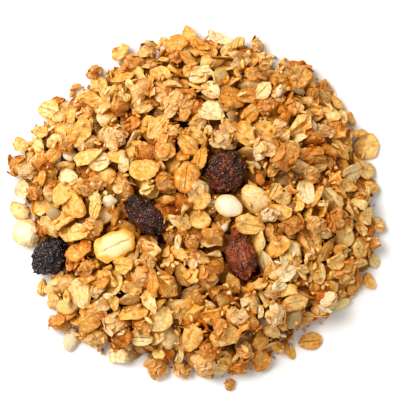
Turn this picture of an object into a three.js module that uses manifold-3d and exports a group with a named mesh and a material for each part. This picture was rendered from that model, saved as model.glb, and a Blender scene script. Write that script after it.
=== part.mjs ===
// A loose heap of toasted oat-flake muesli with raisins and nuts, as it lies on
// a flat surface. Millimetres, +Z up. The origin is on the surface, under the
// middle of the heap; +Y is the far side seen from the front.

import * as THREE from "three";
import { mergeVertices } from "three/addons/utils/BufferGeometryUtils.js";
import Module from "manifold-3d";

// ------------------------------------------------------------ driving dimensions

const HEAP_RADIUS = 53.0;
const HEAP_HEIGHT = 20;
const DOME_FLATNESS = 2.4;
const DOME_SHOULDER = 0.8;

// Waves of the uneven outline: how many round the rim, how deep, where they start.
const OUTLINE_WAVES = [
  { count: 1, depth: 0.6, start: -0.6 },
  { count: 2, depth: 1.8, start: -0.2 },
  { count: 4, depth: 0.8, start: 1.2 },
  { count: 5, depth: 0.8, start: -0.9 },
  { count: 6, depth: 1.3, start: 2.0 },
];

// Ranges that pieces are drawn from; wide is a share of long.
const PIECE_SIZES = {
  flake: { long: [6.0, 10.0], wide: [0.6, 0.82], thick: [0.8, 1.2] },
  cluster: { long: [5.4, 9.6], wide: [0.66, 0.94], thick: [3.0, 4.8] },
  bit: { long: [3.4, 6.0], wide: [0.4, 0.8], thick: [0.8, 1.4] },
  seed: { long: [4.0, 8.0], wide: [0.5, 0.8], thick: [1.8, 2.6] },
};

const CLEARANCE = 0.3;
const BED_DEPTH = 6.0;
const BED_PIECES = 640;
const TOP_PIECES = 220;
const BED_TRIES = 8;
const TOP_TRIES = 24;
const HEAP_SEED = 20425;
const STEEPEST_REST = 0.75;
const STEEP_SLOPES = [0.7, 2.0];
const SUNK_LUMP = 0.35;
const SUNK_STEEP = 0.1;
const RIM_INSET = 4.5;
const KEPT_ROOM = 100;
const TOPPING_MARGIN = 2.8;
const STRAY_MARGIN = 3.2;
const SHOWS_WITHIN = 0.4;
const BED_MIX = { flake: 0.66, cluster: 0.2, steep: 0.1 };
const TOP_MIX = { flake: 0.44, cluster: 0.14, steep: 0.28 };

// How the solid heap is cut down from all that was laid.
const SOLID_FLAKES = 184;
const SOLID_LUMPS = 52;
const SOLID_SPACINGS = [8, 7, 6, 5];
const CORE_DROP = 0.6;
const CORE_SPREAD = 2.0;
const CORE_INSET = 1.5;
const CORE_RINGS = 11;
const CORE_SECTORS = 30;
const ROOT_DEPTH = 5.5;
const FLAKE_SIDES = 6;
const FLAKE_FULLNESS = 1.08;
const STRAY_ROOM = 1.5;
const STRAY_HEADROOM = 4.5;
const SHORTEST_EDGE = 0.02;

const GROOVE_HALF_WIDTH = 0.25;
const NUT_UNDERSIDE = 0.8;
const NUT_TAPER = 0.12;

const SURFACE_CELL = 0.5;
const SURFACE_REACH = 64;

// The largest pieces, on top of the heap: raisins, a nut half, an almond slice and
// a puffed grain. at: middle seen from above; size: length, width, height; turn: degrees
// from +X; lean: degrees that the long side rises; rise: top above the heap's dome;
// groove: depth of the cut side's groove, as a share of half the height.
const TOPPINGS = [
  {
    name: "raisin_round", form: "raisin", at: [8.4, 9.3], size: [13.4, 12.4, 8.2],
    turn: 20, lean: 4, rise: 2.6,
  },
  {
    name: "raisin_long", form: "raisin", at: [-14.9, -3.6], size: [15.4, 9.2, 7.6],
    turn: -38, lean: -5, rise: 2.4,
  },
  {
    name: "raisin_rim", form: "raisin", at: [-43.4, -15.0], size: [14.4, 10.8, 7.8],
    turn: 34, lean: 6, rise: 2.2,
  },
  {
    name: "raisin_red", form: "raisin", at: [12.6, -14.7], size: [15.8, 9.2, 7.4],
    turn: -72, lean: 3, rise: 2.0,
  },
  {
    name: "nut_half", form: "nut", at: [-24.0, -12.3], size: [12.8, 8.4, 4.4],
    turn: 25, lean: -6, rise: 2.2, groove: 0.2,
  },
  {
    name: "almond_slice", form: "nut", at: [9.3, -0.9], size: [8.6, 6.6, 3.2],
    turn: -20, lean: 5, rise: 1.4, groove: 0,
  },
  {
    name: "puffed_grain", form: "nut", at: [-51.2, -7.8], size: [8.6, 8.2, 5.6],
    turn: 0, lean: 0, rise: 1.2, groove: 0,
  },
];

// Pieces of the heap that lie just clear of its rim.
const STRAYS = [
  { name: "stray_flake", at: [33.8, -40.1], size: [7.4, 5.4, 1.2], turn: 8 },
  { name: "stray_seed", at: [-46.4, -24.0], size: [5.4, 3.2, 1.6], turn: 82 },
  { name: "stray_crumb", at: [9.6, -53.1], size: [3.9, 3.3, 2.2], turn: 80 },
];

// Well-marked pieces of the top layer, in the order that they were laid:
// [middle x, middle y, length, width, degrees from +X], seen from above.
const LANDMARKS = {
  cluster: [
    [-31.0, 40.8, 5.6, 4.4, 20], [-18.8, 42.8, 7.4, 5.6, 0], [-6.3, 43.6, 7.4, 5.6, 10],
    [16.8, 38.4, 8.4, 5.4, -15], [7.0, 28.2, 7.6, 4.6, -10], [-0.6, 27.4, 7.2, 5.6, 20],
    [31.0, 41.2, 9.0, 4.6, -12], [38.5, 36.0, 5.2, 4.0, -60], [28.5, 29.0, 8.0, 7.0, 50],
    [34.5, 33.0, 4.6, 3.8, 0], [19.8, 28.2, 8.4, 5.6, 10], [-53.3, 12.3, 7.6, 6.4, 75],
    [-47.9, 4.0, 5.8, 5.0, 60], [-9.3, 16.3, 9.0, 7.6, 80], [-9.5, 6.0, 9.0, 6.0, -20],
    [33.6, 13.8, 10.0, 7.2, 5], [48.0, 3.0, 6.0, 4.4, 30], [40.1, -4.5, 8.0, 6.4, 80],
    [27.5, -6.0, 8.8, 6.2, 10], [51.8, -11.0, 4.4, 3.6, 80], [-30.6, -7.2, 8.4, 7.0, 40],
    [-13.5, -16.5, 6.6, 6.0, 70], [2.3, -21.5, 6.8, 6.4, 40], [42.0, -19.5, 6.2, 5.0, 30],
    [22.8, -29.8, 8.8, 5.2, 30], [38.0, -31.3, 4.6, 2.8, -40], [-41.0, -34.2, 6.8, 4.6, -10],
    [-15.0, -34.6, 8.4, 6.0, 20], [3.9, -41.0, 9.4, 8.4, 60], [12.2, -47.0, 7.6, 5.0, 10],
    [-32.4, -18.5, 8.0, 5.0, 35], [-14.5, 46.5, 7.8, 6.6, 20], [11.6, 44.6, 5.0, 3.4, 0],
    [-43.3, 3.6, 7.4, 5.0, -40], [-30.3, -38.8, 8.8, 8.2, 0], [-12.2, -48.2, 7.8, 7.2, 0],
    [-4.6, -47.8, 6.8, 5.2, -35], [-37.6, -22.8, 8.8, 6.0, -30], [26.0, 39.2, 5.6, 3.4, -20],
    [18.0, 48.4, 5.4, 3.8, -60], [37.8, 22.0, 6.6, 4.4, -10], [-0.4, -16.0, 8.0, 6.8, 10],
    [-29.1, -25.3, 6.6, 5.2, 20], [-23.4, -34.6, 8.8, 7.8, 30],
  ],
  flake: [
    [-42.0, 32.0, 4.6, 3.6, 20], [-44.0, 11.4, 5.4, 3.2, 40], [-8.4, -43.4, 5.2, 3.8, -60],
    [-21.4, -18.2, 7.2, 5.4, -10], [-35.6, -14.8, 7.0, 6.0, -60], [18.8, -45.9, 7.2, 6.6, 85],
    [-22.0, 38.2, 8.4, 3.2, 10], [-2.6, 51.4, 7.8, 5.0, -50], [0.9, 48.0, 6.8, 3.6, -25],
    [21.6, -19.6, 7.6, 4.6, 60], [31.4, -22.0, 7.8, 4.4, 35], [46.8, -22.9, 7.6, 5.2, 80],
    [2.2, -49.4, 6.4, 3.6, -25], [-33.2, 26.0, 6.6, 5.4, 20], [-22.8, 46.4, 6.6, 5.2, 45],
    [51.2, 18.4, 8.4, 7.4, 60], [48.0, 21.7, 7.4, 3.0, 15], [0.7, 0.4, 7.4, 5.2, 10],
    [-4.3, -20.6, 8.6, 4.6, -60], [-10.4, 38.9, 6.8, 5.0, -15], [-36.0, -0.6, 9.0, 6.4, -50],
    [-38.9, 20.6, 8.0, 5.8, -15], [-53.0, 18.3, 7.0, 4.2, -50], [-19.0, -24.0, 6.2, 5.2, 0],
    [50.0, 10.8, 7.6, 6.0, -8], [43.2, 5.7, 9.4, 4.4, 0], [-3.4, -40.8, 7.0, 5.4, 90],
    [33.2, 37.2, 7.0, 5.0, 15], [-29.0, 36.3, 7.4, 4.8, -65], [-24.3, 33.0, 6.8, 5.4, 60],
    [-9.6, 48.4, 5.8, 3.4, -60], [12.3, 48.8, 5.8, 3.8, 75], [35.3, 28.4, 6.4, 4.0, -20],
    [41.8, 31.2, 5.6, 3.6, -50], [45.8, 27.0, 5.4, 3.4, -50], [-46.8, 22.0, 6.0, 4.0, -15],
    [-32.5, 23.8, 6.6, 5.2, 70], [-23.0, 14.0, 6.6, 4.6, -25], [-25.7, 7.0, 8.0, 5.8, -55],
    [22.4, 11.4, 8.4, 3.6, 75], [52.0, 5.8, 6.0, 3.8, -15], [22.5, 3.4, 5.8, 5.0, 60],
    [15.3, -6.3, 9.4, 6.2, -10], [10.2, -23.2, 7.2, 5.0, -45], [39.0, -24.0, 6.8, 5.4, -40],
    [51.4, -22.3, 5.4, 3.6, -60], [45.7, -16.8, 5.2, 3.4, -60], [23.6, -41.4, 6.6, 3.8, -30],
    [27.8, -43.0, 5.6, 3.4, -70], [-32.5, -31.6, 7.2, 4.0, -60], [-25.4, -21.9, 6.4, 4.6, -50],
    [-44.2, 29.4, 8.8, 6.2, -20], [-34.5, 32.2, 7.6, 3.8, 45], [-40.2, 27.0, 6.6, 3.2, 25],
    [17.0, 1.2, 10.0, 8.0, -35], [-5.3, -5.3, 8.0, 4.4, -28], [-15.0, 29.8, 8.4, 5.6, 30],
    [19.8, 33.4, 6.6, 5.0, 50], [20.4, 43.8, 5.4, 4.6, 40], [43.2, 26.4, 5.8, 3.4, 80],
    [42.5, 16.9, 8.4, 3.8, -50], [-47.0, 17.5, 8.0, 3.8, -55], [-53.4, -1.2, 7.2, 5.4, -35],
    [-43.8, -6.2, 8.0, 4.8, -55], [-1.0, 19.8, 8.6, 5.4, -10], [54.0, -5.4, 5.4, 4.8, 60],
    [34.3, -3.0, 6.4, 4.6, 80], [39.5, -12.1, 7.2, 5.0, 28], [47.7, -12.9, 7.0, 4.0, -75],
    [48.5, -7.2, 5.6, 2.8, -40], [-20.3, -27.8, 7.6, 4.8, 12], [-6.2, -30.8, 10.4, 6.6, 5],
    [8.0, -28.4, 6.8, 4.8, -60], [35.5, -19.5, 8.4, 4.8, -70], [32.4, -27.8, 8.4, 4.2, -5],
    [52.8, -16.0, 5.4, 3.6, -60], [-27.8, -29.2, 6.0, 5.0, 10], [-17.0, -42.0, 5.8, 3.4, -40],
    [6.0, -48.0, 6.8, 4.2, -25], [-42.8, -28.4, 6.0, 4.6, 60], [1.2, 38.2, 7.8, 6.0, 15],
    [7.2, 50.2, 9.0, 5.2, -25], [7.7, 33.0, 7.8, 4.8, 112], [-26.7, 26.1, 7.4, 5.6, 25],
    [-19.2, 30.9, 9.0, 4.0, 75], [-28.2, 12.4, 7.2, 6.2, 10], [-51.6, 5.4, 6.0, 5.2, 90],
    [46.4, -1.8, 8.0, 3.6, -50], [-26.0, 20.8, 7.6, 5.6, 50], [-12.0, -38.8, 8.2, 4.2, 35],
    [-23.2, -44.2, 7.6, 6.6, 75], [27.6, -12.3, 7.4, 3.0, -45], [3.9, -29.6, 5.2, 3.4, -60],
  ],
  bit: [
    [-36.8, 36.3, 4.2, 1.8, 25],
  ],
  seed: [
    [42.3, -28.8, 7.8, 4.4, 18], [-29.6, 1.8, 5.6, 4.2, -60], [-17.6, 10.8, 6.0, 3.9, -50],
    [-37.7, -39.5, 7.6, 4.4, 75], [24.3, 33.6, 4.2, 2.2, 75], [34.3, 23.2, 4.2, 2.4, 95],
    [11.9, 32.0, 3.8, 2.2, 110], [8.0, -7.1, 4.0, 2.2, 50], [-37.4, 14.5, 4.8, 4.4, 0],
    [-25.3, 0.6, 4.6, 4.2, 0], [28.1, -19.6, 8.0, 5.2, 68], [-38.2, -29.9, 8.2, 4.8, 0],
    [10.8, 18.3, 5.4, 3.2, 65], [28.6, -33.2, 7.4, 4.8, 60], [19.2, -34.6, 6.4, 4.4, -20],
    [-42.0, -2.5, 5.2, 4.6, 0], [30.2, 34.2, 5.2, 2.8, -20], [28.0, -1.2, 3.6, 3.0, 30],
    [25.0, -38.0, 3.8, 3.0, 90],
  ],
};

// ---------------------------------------------------------------- form of the heap

// A linear congruential draw of numbers from 0 to 1, the same on every run.
function makeDraw(seed) {
  const [multiplier, increment, modulus] = [1664525, 1013904223, 2 ** 32];
  let state = seed;
  return () => {
    state = (Math.imul(state, multiplier) + increment) >>> 0;
    return state / modulus;
  };
}

function between(draw, [low, high]) {
  return low + (high - low) * draw();
}

function outlineReach(angle) {
  let reach = HEAP_RADIUS;
  for (const wave of OUTLINE_WAVES) {
    reach += wave.depth * Math.cos(wave.count * angle + wave.start);
  }
  return reach;
}

function domeHeight(x, y) {
  const share = Math.hypot(x, y) / outlineReach(Math.atan2(y, x));
  return share < 1 ? HEAP_HEIGHT * (1 - share ** DOME_FLATNESS) ** DOME_SHOULDER : 0;
}

// ------------------------------------------------------- laying one piece on others

// Where a piece may touch what is below it, in shares of its half length and width.
function restingSpots() {
  const spots = [{ u: 0, v: 0 }];
  for (const ring of [{ share: 0.5, count: 6 }, { share: 0.92, count: 8 }]) {
    for (let i = 0; i < ring.count; i += 1) {
      const angle = (2 * Math.PI * i) / ring.count;
      spots.push({ u: ring.share * Math.cos(angle), v: ring.share * Math.sin(angle) });
    }
  }
  return spots;
}

const RESTING_SPOTS = restingSpots();

// Whether a piece is as thick as a lump, not flat as a flake.
function isLump(piece) {
  return piece.kind === "cluster" || piece.kind === "seed";
}

// The top of all that has been laid so far, as heights on a square grid.
class Surface {
  constructor() {
    this.side = 2 * Math.floor(SURFACE_REACH / SURFACE_CELL) + 1;
    this.heights = new Float64Array(this.side * this.side);
    this.kept = new Uint8Array(this.side * this.side);
    for (let row = 0; row < this.side; row += 1) {
      for (let column = 0; column < this.side; column += 1) {
        const bed = domeHeight(this.place(column), this.place(row)) - BED_DEPTH;
        this.heights[row * this.side + column] = Math.max(0, bed);
      }
    }
  }

  place(step) {
    return step * SURFACE_CELL - SURFACE_REACH;
  }

  step(place) {
    return Math.floor((place + SURFACE_REACH) / SURFACE_CELL + 0.5);
  }

  cell(x, y) {
    return this.step(y) * this.side + this.step(x);
  }

  // Calls visit(cell, u, v, rim) for each cell under the piece; rim is 0 to 1.
  under(piece, visit) {
    const halfLong = piece.long / 2 / Math.hypot(1, piece.slopeU);
    const halfWide = piece.wide / 2 / Math.hypot(1, piece.slopeV);
    const reach = Math.ceil(halfLong / SURFACE_CELL) + 1;
    const [column, row] = [this.step(piece.x), this.step(piece.y)];
    for (let r = row - reach; r <= row + reach; r += 1) {
      for (let c = column - reach; c <= column + reach; c += 1) {
        const east = this.place(c) - piece.x;
        const north = this.place(r) - piece.y;
        const u = east * Math.cos(piece.turn) + north * Math.sin(piece.turn);
        const v = north * Math.cos(piece.turn) - east * Math.sin(piece.turn);
        const rim = (u / halfLong) ** 2 + (v / halfWide) ** 2;
        if (rim <= 1) {
          visit(r * this.side + c, u, v, rim);
        }
      }
    }
  }

  // Settles a piece on the slope below it: it rests on its third highest spot.
  settle(piece) {
    const heights = [];
    let [sum, sumU, sumV, squareU, squareV] = [0, 0, 0, 0, 0];
    for (const spot of RESTING_SPOTS) {
      const u = (spot.u * piece.long) / 2;
      const v = (spot.v * piece.wide) / 2;
      const x = piece.x + u * Math.cos(piece.turn) - v * Math.sin(piece.turn);
      const y = piece.y + u * Math.sin(piece.turn) + v * Math.cos(piece.turn);
      const height = this.heights[this.cell(x, y)];
      heights.push({ u, v, height });
      sum += height;
      sumU += height * u;
      sumV += height * v;
      squareU += u * u;
      squareV += v * v;
    }
    const mean = sum / heights.length;
    const slopeU = sumU / squareU;
    const slopeV = sumV / squareV;
    const ease = Math.min(1, STEEPEST_REST / Math.max(1e-6, Math.hypot(slopeU, slopeV)));
    piece.slopeU = slopeU * ease;
    piece.slopeV = slopeV * ease;
    const rises = heights.map((spot) => spot.height - mean - piece.slopeU * spot.u - piece.slopeV * spot.v);
    rises.sort((a, b) => b - a);
    piece.base = mean + Math.max(0, rises[2]);
  }

  top(piece, u, v, rim) {
    const plane = piece.base + piece.slopeU * u + piece.slopeV * v;
    if (isLump(piece)) {
      return plane + piece.thick * (0.5 - SUNK_LUMP + 0.5 * Math.sqrt(1 - rim));
    }
    return plane + piece.thick * Math.hypot(1, piece.slopeU, piece.slopeV);
  }

  press(piece) {
    this.under(piece, (cell, u, v, rim) => {
      this.heights[cell] = Math.max(this.heights[cell], this.top(piece, u, v, rim));
    });
  }

  keep(piece) {
    this.under(piece, (cell) => {
      this.kept[cell] = 1;
    });
  }

  // The share of a piece that nothing laid later covers.
  shown(piece) {
    let [all, open] = [0, 0];
    this.under(piece, (cell, u, v, rim) => {
      all += 1;
      open += this.top(piece, u, v, rim) > this.heights[cell] - SHOWS_WITHIN ? 1 : 0;
    });
    return all > 0 ? open / all : 0;
  }
}

// ---------------------------------------------------------------- laying the heap

function drawPiece(draw, mix) {
  const pick = draw();
  const kind = pick < mix.flake ? "flake" : pick < mix.flake + mix.cluster ? "cluster" : "bit";
  const size = PIECE_SIZES[kind];
  const long = between(draw, size.long);
  const wide = long * between(draw, size.wide);
  const thick = between(draw, size.thick);
  const turn = 2 * Math.PI * draw();
  const steep = draw() < mix.steep && kind !== "cluster" ? between(draw, STEEP_SLOPES) : 0;
  const shape = draw();
  return { kind, long, wide, thick, turn, steep: draw() < 0.5 ? steep : -steep, shape };
}

// Of a few spots drawn at random, the one with the most room under the dome.
function roomiestSpot(draw, surface, tries) {
  let best = { room: -Infinity };
  for (let i = 0; i < tries; i += 1) {
    const angle = 2 * Math.PI * draw();
    const reach = Math.sqrt(draw()) * (outlineReach(angle) - RIM_INSET);
    const [x, y] = [reach * Math.cos(angle), reach * Math.sin(angle)];
    const cell = surface.cell(x, y);
    const room = domeHeight(x, y) - surface.heights[cell] - (surface.kept[cell] ? KEPT_ROOM : 0);
    if (room > best.room) {
      best = { room, x, y };
    }
  }
  return best;
}

function layPiece(surface, piece) {
  surface.settle(piece);
  if (piece.steep) {
    piece.slopeV += piece.steep;
    piece.base -= piece.wide * SUNK_STEEP;
  }
  surface.press(piece);
  return piece;
}

// Height of a topping's middle: it rises a little over the dome, or lies on the ground.
function toppingMiddle(topping) {
  const high = topping.size[2];
  const ground = high / 2 + CLEARANCE / 2;
  return Math.max(ground, domeHeight(...topping.at) + topping.rise - high / 2);
}

function toppingFootprint(topping) {
  const [long, wide, thick] = topping.size;
  const [x, y] = topping.at;
  const turn = THREE.MathUtils.degToRad(topping.turn);
  const base = toppingMiddle(topping) - thick * (0.5 - SUNK_LUMP);
  return { kind: "cluster", x, y, long, wide, thick, turn, base, slopeU: 0, slopeV: 0 };
}

function strayFootprint(stray) {
  const [long, wide] = stray.size;
  const [x, y] = stray.at;
  return { x, y, long, wide, turn: THREE.MathUtils.degToRad(stray.turn), slopeU: 0, slopeV: 0 };
}

// A footprint with room round it, in which no other piece has its middle.
function withMargin(footprint, margin) {
  return { ...footprint, long: footprint.long + 2 * margin, wide: footprint.wide + 2 * margin };
}

// Draws one piece and lays it where there is most room.
function dropPiece(draw, surface, mix, tries) {
  const piece = drawPiece(draw, mix);
  const { x, y } = roomiestSpot(draw, surface, tries);
  return layPiece(surface, { ...piece, x, y });
}

function layLandmark(draw, surface, kind, [x, y, long, wide, degrees]) {
  const thick = between(draw, PIECE_SIZES[kind].thick);
  const turn = THREE.MathUtils.degToRad(degrees);
  const piece = layPiece(surface, { kind, x, y, long, wide, thick, turn, steep: 0, shape: draw() });
  surface.keep(piece);
  return piece;
}

// Lays the bed, then the toppings and marked pieces, then what fills between them.
function layHeap() {
  const draw = makeDraw(HEAP_SEED);
  const surface = new Surface();
  const footprints = TOPPINGS.map(toppingFootprint);
  footprints.forEach((footprint) => surface.keep(footprint));
  STRAYS.forEach((stray) => surface.keep(withMargin(strayFootprint(stray), STRAY_MARGIN)));
  const pieces = [];
  for (let i = 0; i < BED_PIECES; i += 1) {
    pieces.push(dropPiece(draw, surface, BED_MIX, BED_TRIES));
  }
  for (const footprint of footprints) {
    surface.press(footprint);
    surface.keep(withMargin(footprint, TOPPING_MARGIN));
  }
  for (const [kind, rows] of Object.entries(LANDMARKS)) {
    rows.forEach((row) => pieces.push(layLandmark(draw, surface, kind, row)));
  }
  for (let i = 0; i < TOP_PIECES; i += 1) {
    pieces.push(dropPiece(draw, surface, TOP_MIX, TOP_TRIES));
  }
  return { surface, pieces };
}

// Turns and moves a shape made flat round the origin to where its piece lies.
function layingMatrix(piece) {
  const along = new THREE.Vector3(Math.cos(piece.turn), Math.sin(piece.turn), piece.slopeU).normalize();
  const slant = new THREE.Vector3(-Math.sin(piece.turn), Math.cos(piece.turn), piece.slopeV);
  const up = new THREE.Vector3().crossVectors(along, slant).normalize();
  const across = new THREE.Vector3().crossVectors(up, along);
  const matrix = new THREE.Matrix4().makeBasis(along, across, up);
  return matrix.setPosition(piece.x, piece.y, piece.base);
}

// ------------------------------------------------------------------ single pieces

// Moves each corner of a closed shape to where bend(corner) puts it.
function reshape(geometry, bend) {
  const places = geometry.attributes.position;
  const corner = new THREE.Vector3();
  for (let i = 0; i < places.count; i += 1) {
    corner.fromBufferAttribute(places, i);
    bend(corner);
    places.setXYZ(i, corner.x, corner.y, corner.z);
  }
  geometry.deleteAttribute("normal");
  geometry.deleteAttribute("uv");
  return mergeVertices(geometry, 1e-4);
}

// A rolled flake: an uneven oval dish, undercut to a root that is sunk in the heap.
function flakeShape(piece, root, sides) {
  const geometry = new THREE.ConeGeometry(1, 1, sides, 2);
  geometry.rotateX(-Math.PI / 2);
  return reshape(geometry, (corner) => {
    const angle = Math.atan2(corner.y, corner.x);
    const lobes = 0.09 * Math.sin(3 * angle + 6.3 * piece.shape);
    const swell = 1 + lobes + 0.06 * Math.cos(2 * angle + 31 * piece.shape);
    const bow = 0.05 * piece.long * (corner.x ** 2 - 0.5 * corner.y ** 2);
    const centred = Math.hypot(corner.x, corner.y) < 0.1;
    const dish = centred ? 0.7 * piece.thick : piece.thick;
    const waist = centred ? -root : 0;
    const height = corner.z > 0.1 ? dish : corner.z > -0.1 ? -0.2 * piece.thick : waist;
    const half = (FLAKE_FULLNESS * swell) / 2;
    corner.set(corner.x * half * piece.long, corner.y * half * piece.wide, height + bow);
  });
}

// A baked cluster or a seed: a blunt lump with knobs where flakes show.
function lumpShape(piece, root) {
  const geometry = new THREE.OctahedronGeometry(1, 1);
  const phase = 6.3 * piece.shape;
  return reshape(geometry, (corner) => {
    const knobs = Math.sin(3.1 * corner.x + phase) * Math.cos(2.7 * corner.y - 2 * phase);
    const swell = 1 + 0.16 * knobs + 0.08 * Math.sin(5 * corner.z + 3 * phase);
    corner.multiplyScalar(swell);
    const half = corner.z > 0 ? piece.thick / 2 : root;
    corner.multiply(new THREE.Vector3(piece.long / 2, piece.wide / 2, half));
    corner.z += piece.thick * (0.5 - SUNK_LUMP);
  });
}

// A raisin: a plump oval drawn in by folds that run mostly along it.
function raisinShape(topping) {
  const [long, wide, high] = topping.size;
  const geometry = new THREE.IcosahedronGeometry(1, 3);
  const phase = topping.turn;
  return reshape(geometry, (corner) => {
    const around = Math.atan2(corner.z, corner.y);
    const fold = Math.abs(Math.sin(3 * around + 1.8 * corner.x + phase));
    const pleat = Math.abs(Math.sin(5 * corner.x - 2 * around + 2 * phase));
    corner.multiplyScalar(1 - 0.13 * fold - 0.06 * pleat);
    corner.multiply(new THREE.Vector3(long / 2, wide / 2, high / 2));
  });
}

// A nut half, almond slice or puffed grain: an oval, narrower at one end, flatter
// below, and grooved along its upper side where it has a groove.
function nutShape(topping) {
  const [long, wide, high] = topping.size;
  const geometry = new THREE.IcosahedronGeometry(1, 3);
  return reshape(geometry, (corner) => {
    const groove = topping.groove * Math.exp(-((corner.y / GROOVE_HALF_WIDTH) ** 2));
    const share = corner.z > 0 ? 1 - groove : NUT_UNDERSIDE;
    const taper = 1 - NUT_TAPER * corner.x;
    corner.multiply(new THREE.Vector3(long / 2, (taper * wide) / 2, (share * high) / 2));
  });
}

const TOPPING_SHAPES = { raisin: raisinShape, nut: nutShape };

// ------------------------------------------------------------------------ booleans

const wasm = await Module();
wasm.setup();

function toSolid(geometry, matrix) {
  const placed = matrix ? geometry.clone().applyMatrix4(matrix) : geometry;
  const corners = placed.index.array;
  const kept = [];
  for (let i = 0; i < corners.length; i += 3) {
    const [a, b, c] = [corners[i], corners[i + 1], corners[i + 2]];
    if (a !== b && b !== c && c !== a) {
      kept.push(a, b, c);
    }
  }
  const vertProperties = new Float32Array(placed.attributes.position.array);
  const triVerts = new Uint32Array(kept);
  const tolerance = SHORTEST_EDGE;
  return new wasm.Manifold(new wasm.Mesh({ numProp: 3, vertProperties, triVerts, tolerance }));
}

function toGeometry(solid) {
  const mesh = solid.getMesh();
  const geometry = new THREE.BufferGeometry();
  geometry.setAttribute("position", new THREE.BufferAttribute(mesh.vertProperties, 3));
  geometry.setIndex(new THREE.BufferAttribute(mesh.triVerts, 1));
  geometry.computeVertexNormals();
  return geometry;
}

// --------------------------------------------------------------------- whole heap

// The packed inside of the heap: its top follows what was laid, a little lower.
function coreShape(surface) {
  const profile = [new THREE.Vector2(0, -1), new THREE.Vector2(1, -1)];
  for (let ring = CORE_RINGS; ring >= 0; ring -= 1) {
    profile.push(new THREE.Vector2(ring / CORE_RINGS, 1));
  }
  const geometry = new THREE.LatheGeometry(profile, CORE_SECTORS);
  geometry.rotateX(Math.PI / 2);
  return reshape(geometry, (corner) => {
    const share = Math.hypot(corner.x, corner.y);
    const reach = outlineReach(Math.atan2(corner.y, corner.x)) - CORE_INSET;
    corner.x *= reach;
    corner.y *= reach;
    const rim = share > 0.999 ? 0.5 : 1;
    corner.z = corner.z > 0 ? Math.max(0.6, rim * coreHeight(surface, corner.x, corner.y)) : -CLEARANCE;
  });
}

function coreHeight(surface, x, y) {
  const around = RESTING_SPOTS.map(({ u, v }) => surface.cell(x + CORE_SPREAD * u, y + CORE_SPREAD * v));
  return Math.min(...around.map((cell) => surface.heights[cell])) - CORE_DROP;
}

// The pieces that show most, spread evenly, up to a number of each kind.
function piecesThatShow(surface, pieces) {
  const left = { flat: SOLID_FLAKES, lump: SOLID_LUMPS };
  const apart = (a, b) => Math.hypot(a.x - b.x, a.y - b.y, a.base - b.base);
  const ranked = pieces.map((piece) => ({ piece, area: piece.long * piece.wide * surface.shown(piece) }));
  ranked.sort((a, b) => b.area - a.area);
  const chosen = [];
  for (const spacing of SOLID_SPACINGS) {
    for (const { piece } of ranked) {
      const group = isLump(piece) ? "lump" : "flat";
      const clear = chosen.every((other) => apart(other, piece) > spacing);
      if (left[group] > 0 && clear) {
        left[group] -= 1;
        chosen.push(piece);
      }
    }
  }
  return chosen;
}

function toppingMatrix(topping) {
  const lean = THREE.MathUtils.degToRad(-topping.lean);
  const turn = THREE.MathUtils.degToRad(topping.turn);
  const matrix = new THREE.Matrix4().makeRotationFromEuler(new THREE.Euler(0, lean, turn, "ZYX"));
  return matrix.setPosition(...topping.at, toppingMiddle(topping));
}

// The room that a topping needs in the heap: a smooth oval all round it.
function roomFor(size) {
  const [long, wide, high] = size;
  const geometry = new THREE.SphereGeometry(1, 16, 10);
  const spare = 1.5 * CLEARANCE;
  return reshape(geometry, (corner) => {
    corner.multiply(new THREE.Vector3(long / 2 + spare, wide / 2 + spare, high / 2 + spare));
  });
}

function strayMatrix(stray) {
  const matrix = new THREE.Matrix4().makeRotationZ(THREE.MathUtils.degToRad(stray.turn));
  return matrix.setPosition(stray.at[0], stray.at[1], 0);
}

function strayShape(stray) {
  const [long, wide, thick] = stray.size;
  const geometry = flakeShape({ long, wide, thick, shape: 0.3 }, 0, 2 * FLAKE_SIDES);
  geometry.computeBoundingBox();
  return geometry.translate(0, 0, -geometry.boundingBox.min.z);
}

function heapShape() {
  const { surface, pieces } = layHeap();
  let heap = toSolid(coreShape(surface));
  for (const piece of piecesThatShow(surface, pieces)) {
    const shape = isLump(piece) ? lumpShape(piece, ROOT_DEPTH) : flakeShape(piece, ROOT_DEPTH, FLAKE_SIDES);
    heap = heap.add(toSolid(shape, layingMatrix(piece)));
  }
  for (const topping of TOPPINGS) {
    heap = heap.subtract(toSolid(roomFor(topping.size), toppingMatrix(topping)));
  }
  for (const stray of STRAYS) {
    const [long, wide, thick] = stray.size;
    const room = roomFor([STRAY_ROOM * long, STRAY_ROOM * wide, STRAY_HEADROOM * thick]);
    heap = heap.subtract(toSolid(room, strayMatrix(stray)));
  }
  const below = new THREE.BoxGeometry(4 * HEAP_RADIUS, 4 * HEAP_RADIUS, HEAP_RADIUS);
  below.translate(0, 0, -HEAP_RADIUS / 2);
  heap = heap.subtract(toSolid(reshape(below, () => {})));
  const bodies = heap.decompose();
  bodies.sort((a, b) => b.volume() - a.volume());
  return toGeometry(bodies[0]);
}

// -------------------------------------------------------------------------- colours

const OAT = new THREE.MeshStandardMaterial({ color: 0xc8934e, roughness: 0.85, metalness: 0 });
const RAISIN = new THREE.MeshStandardMaterial({ color: 0x2e1614, roughness: 0.45, metalness: 0 });
const RED_RAISIN = new THREE.MeshStandardMaterial({ color: 0x5c2312, roughness: 0.45, metalness: 0 });
const NUT = new THREE.MeshStandardMaterial({ color: 0xf0cf8a, roughness: 0.6, metalness: 0 });

function toppingMaterial(topping) {
  if (topping.form === "nut") {
    return NUT;
  }
  return topping.name === "raisin_red" ? RED_RAISIN : RAISIN;
}

function addPart(group, name, geometry, material, matrix) {
  const mesh = new THREE.Mesh(geometry, material.clone());
  mesh.name = name;
  if (matrix) {
    mesh.applyMatrix4(matrix);
  }
  group.add(mesh);
}

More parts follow.
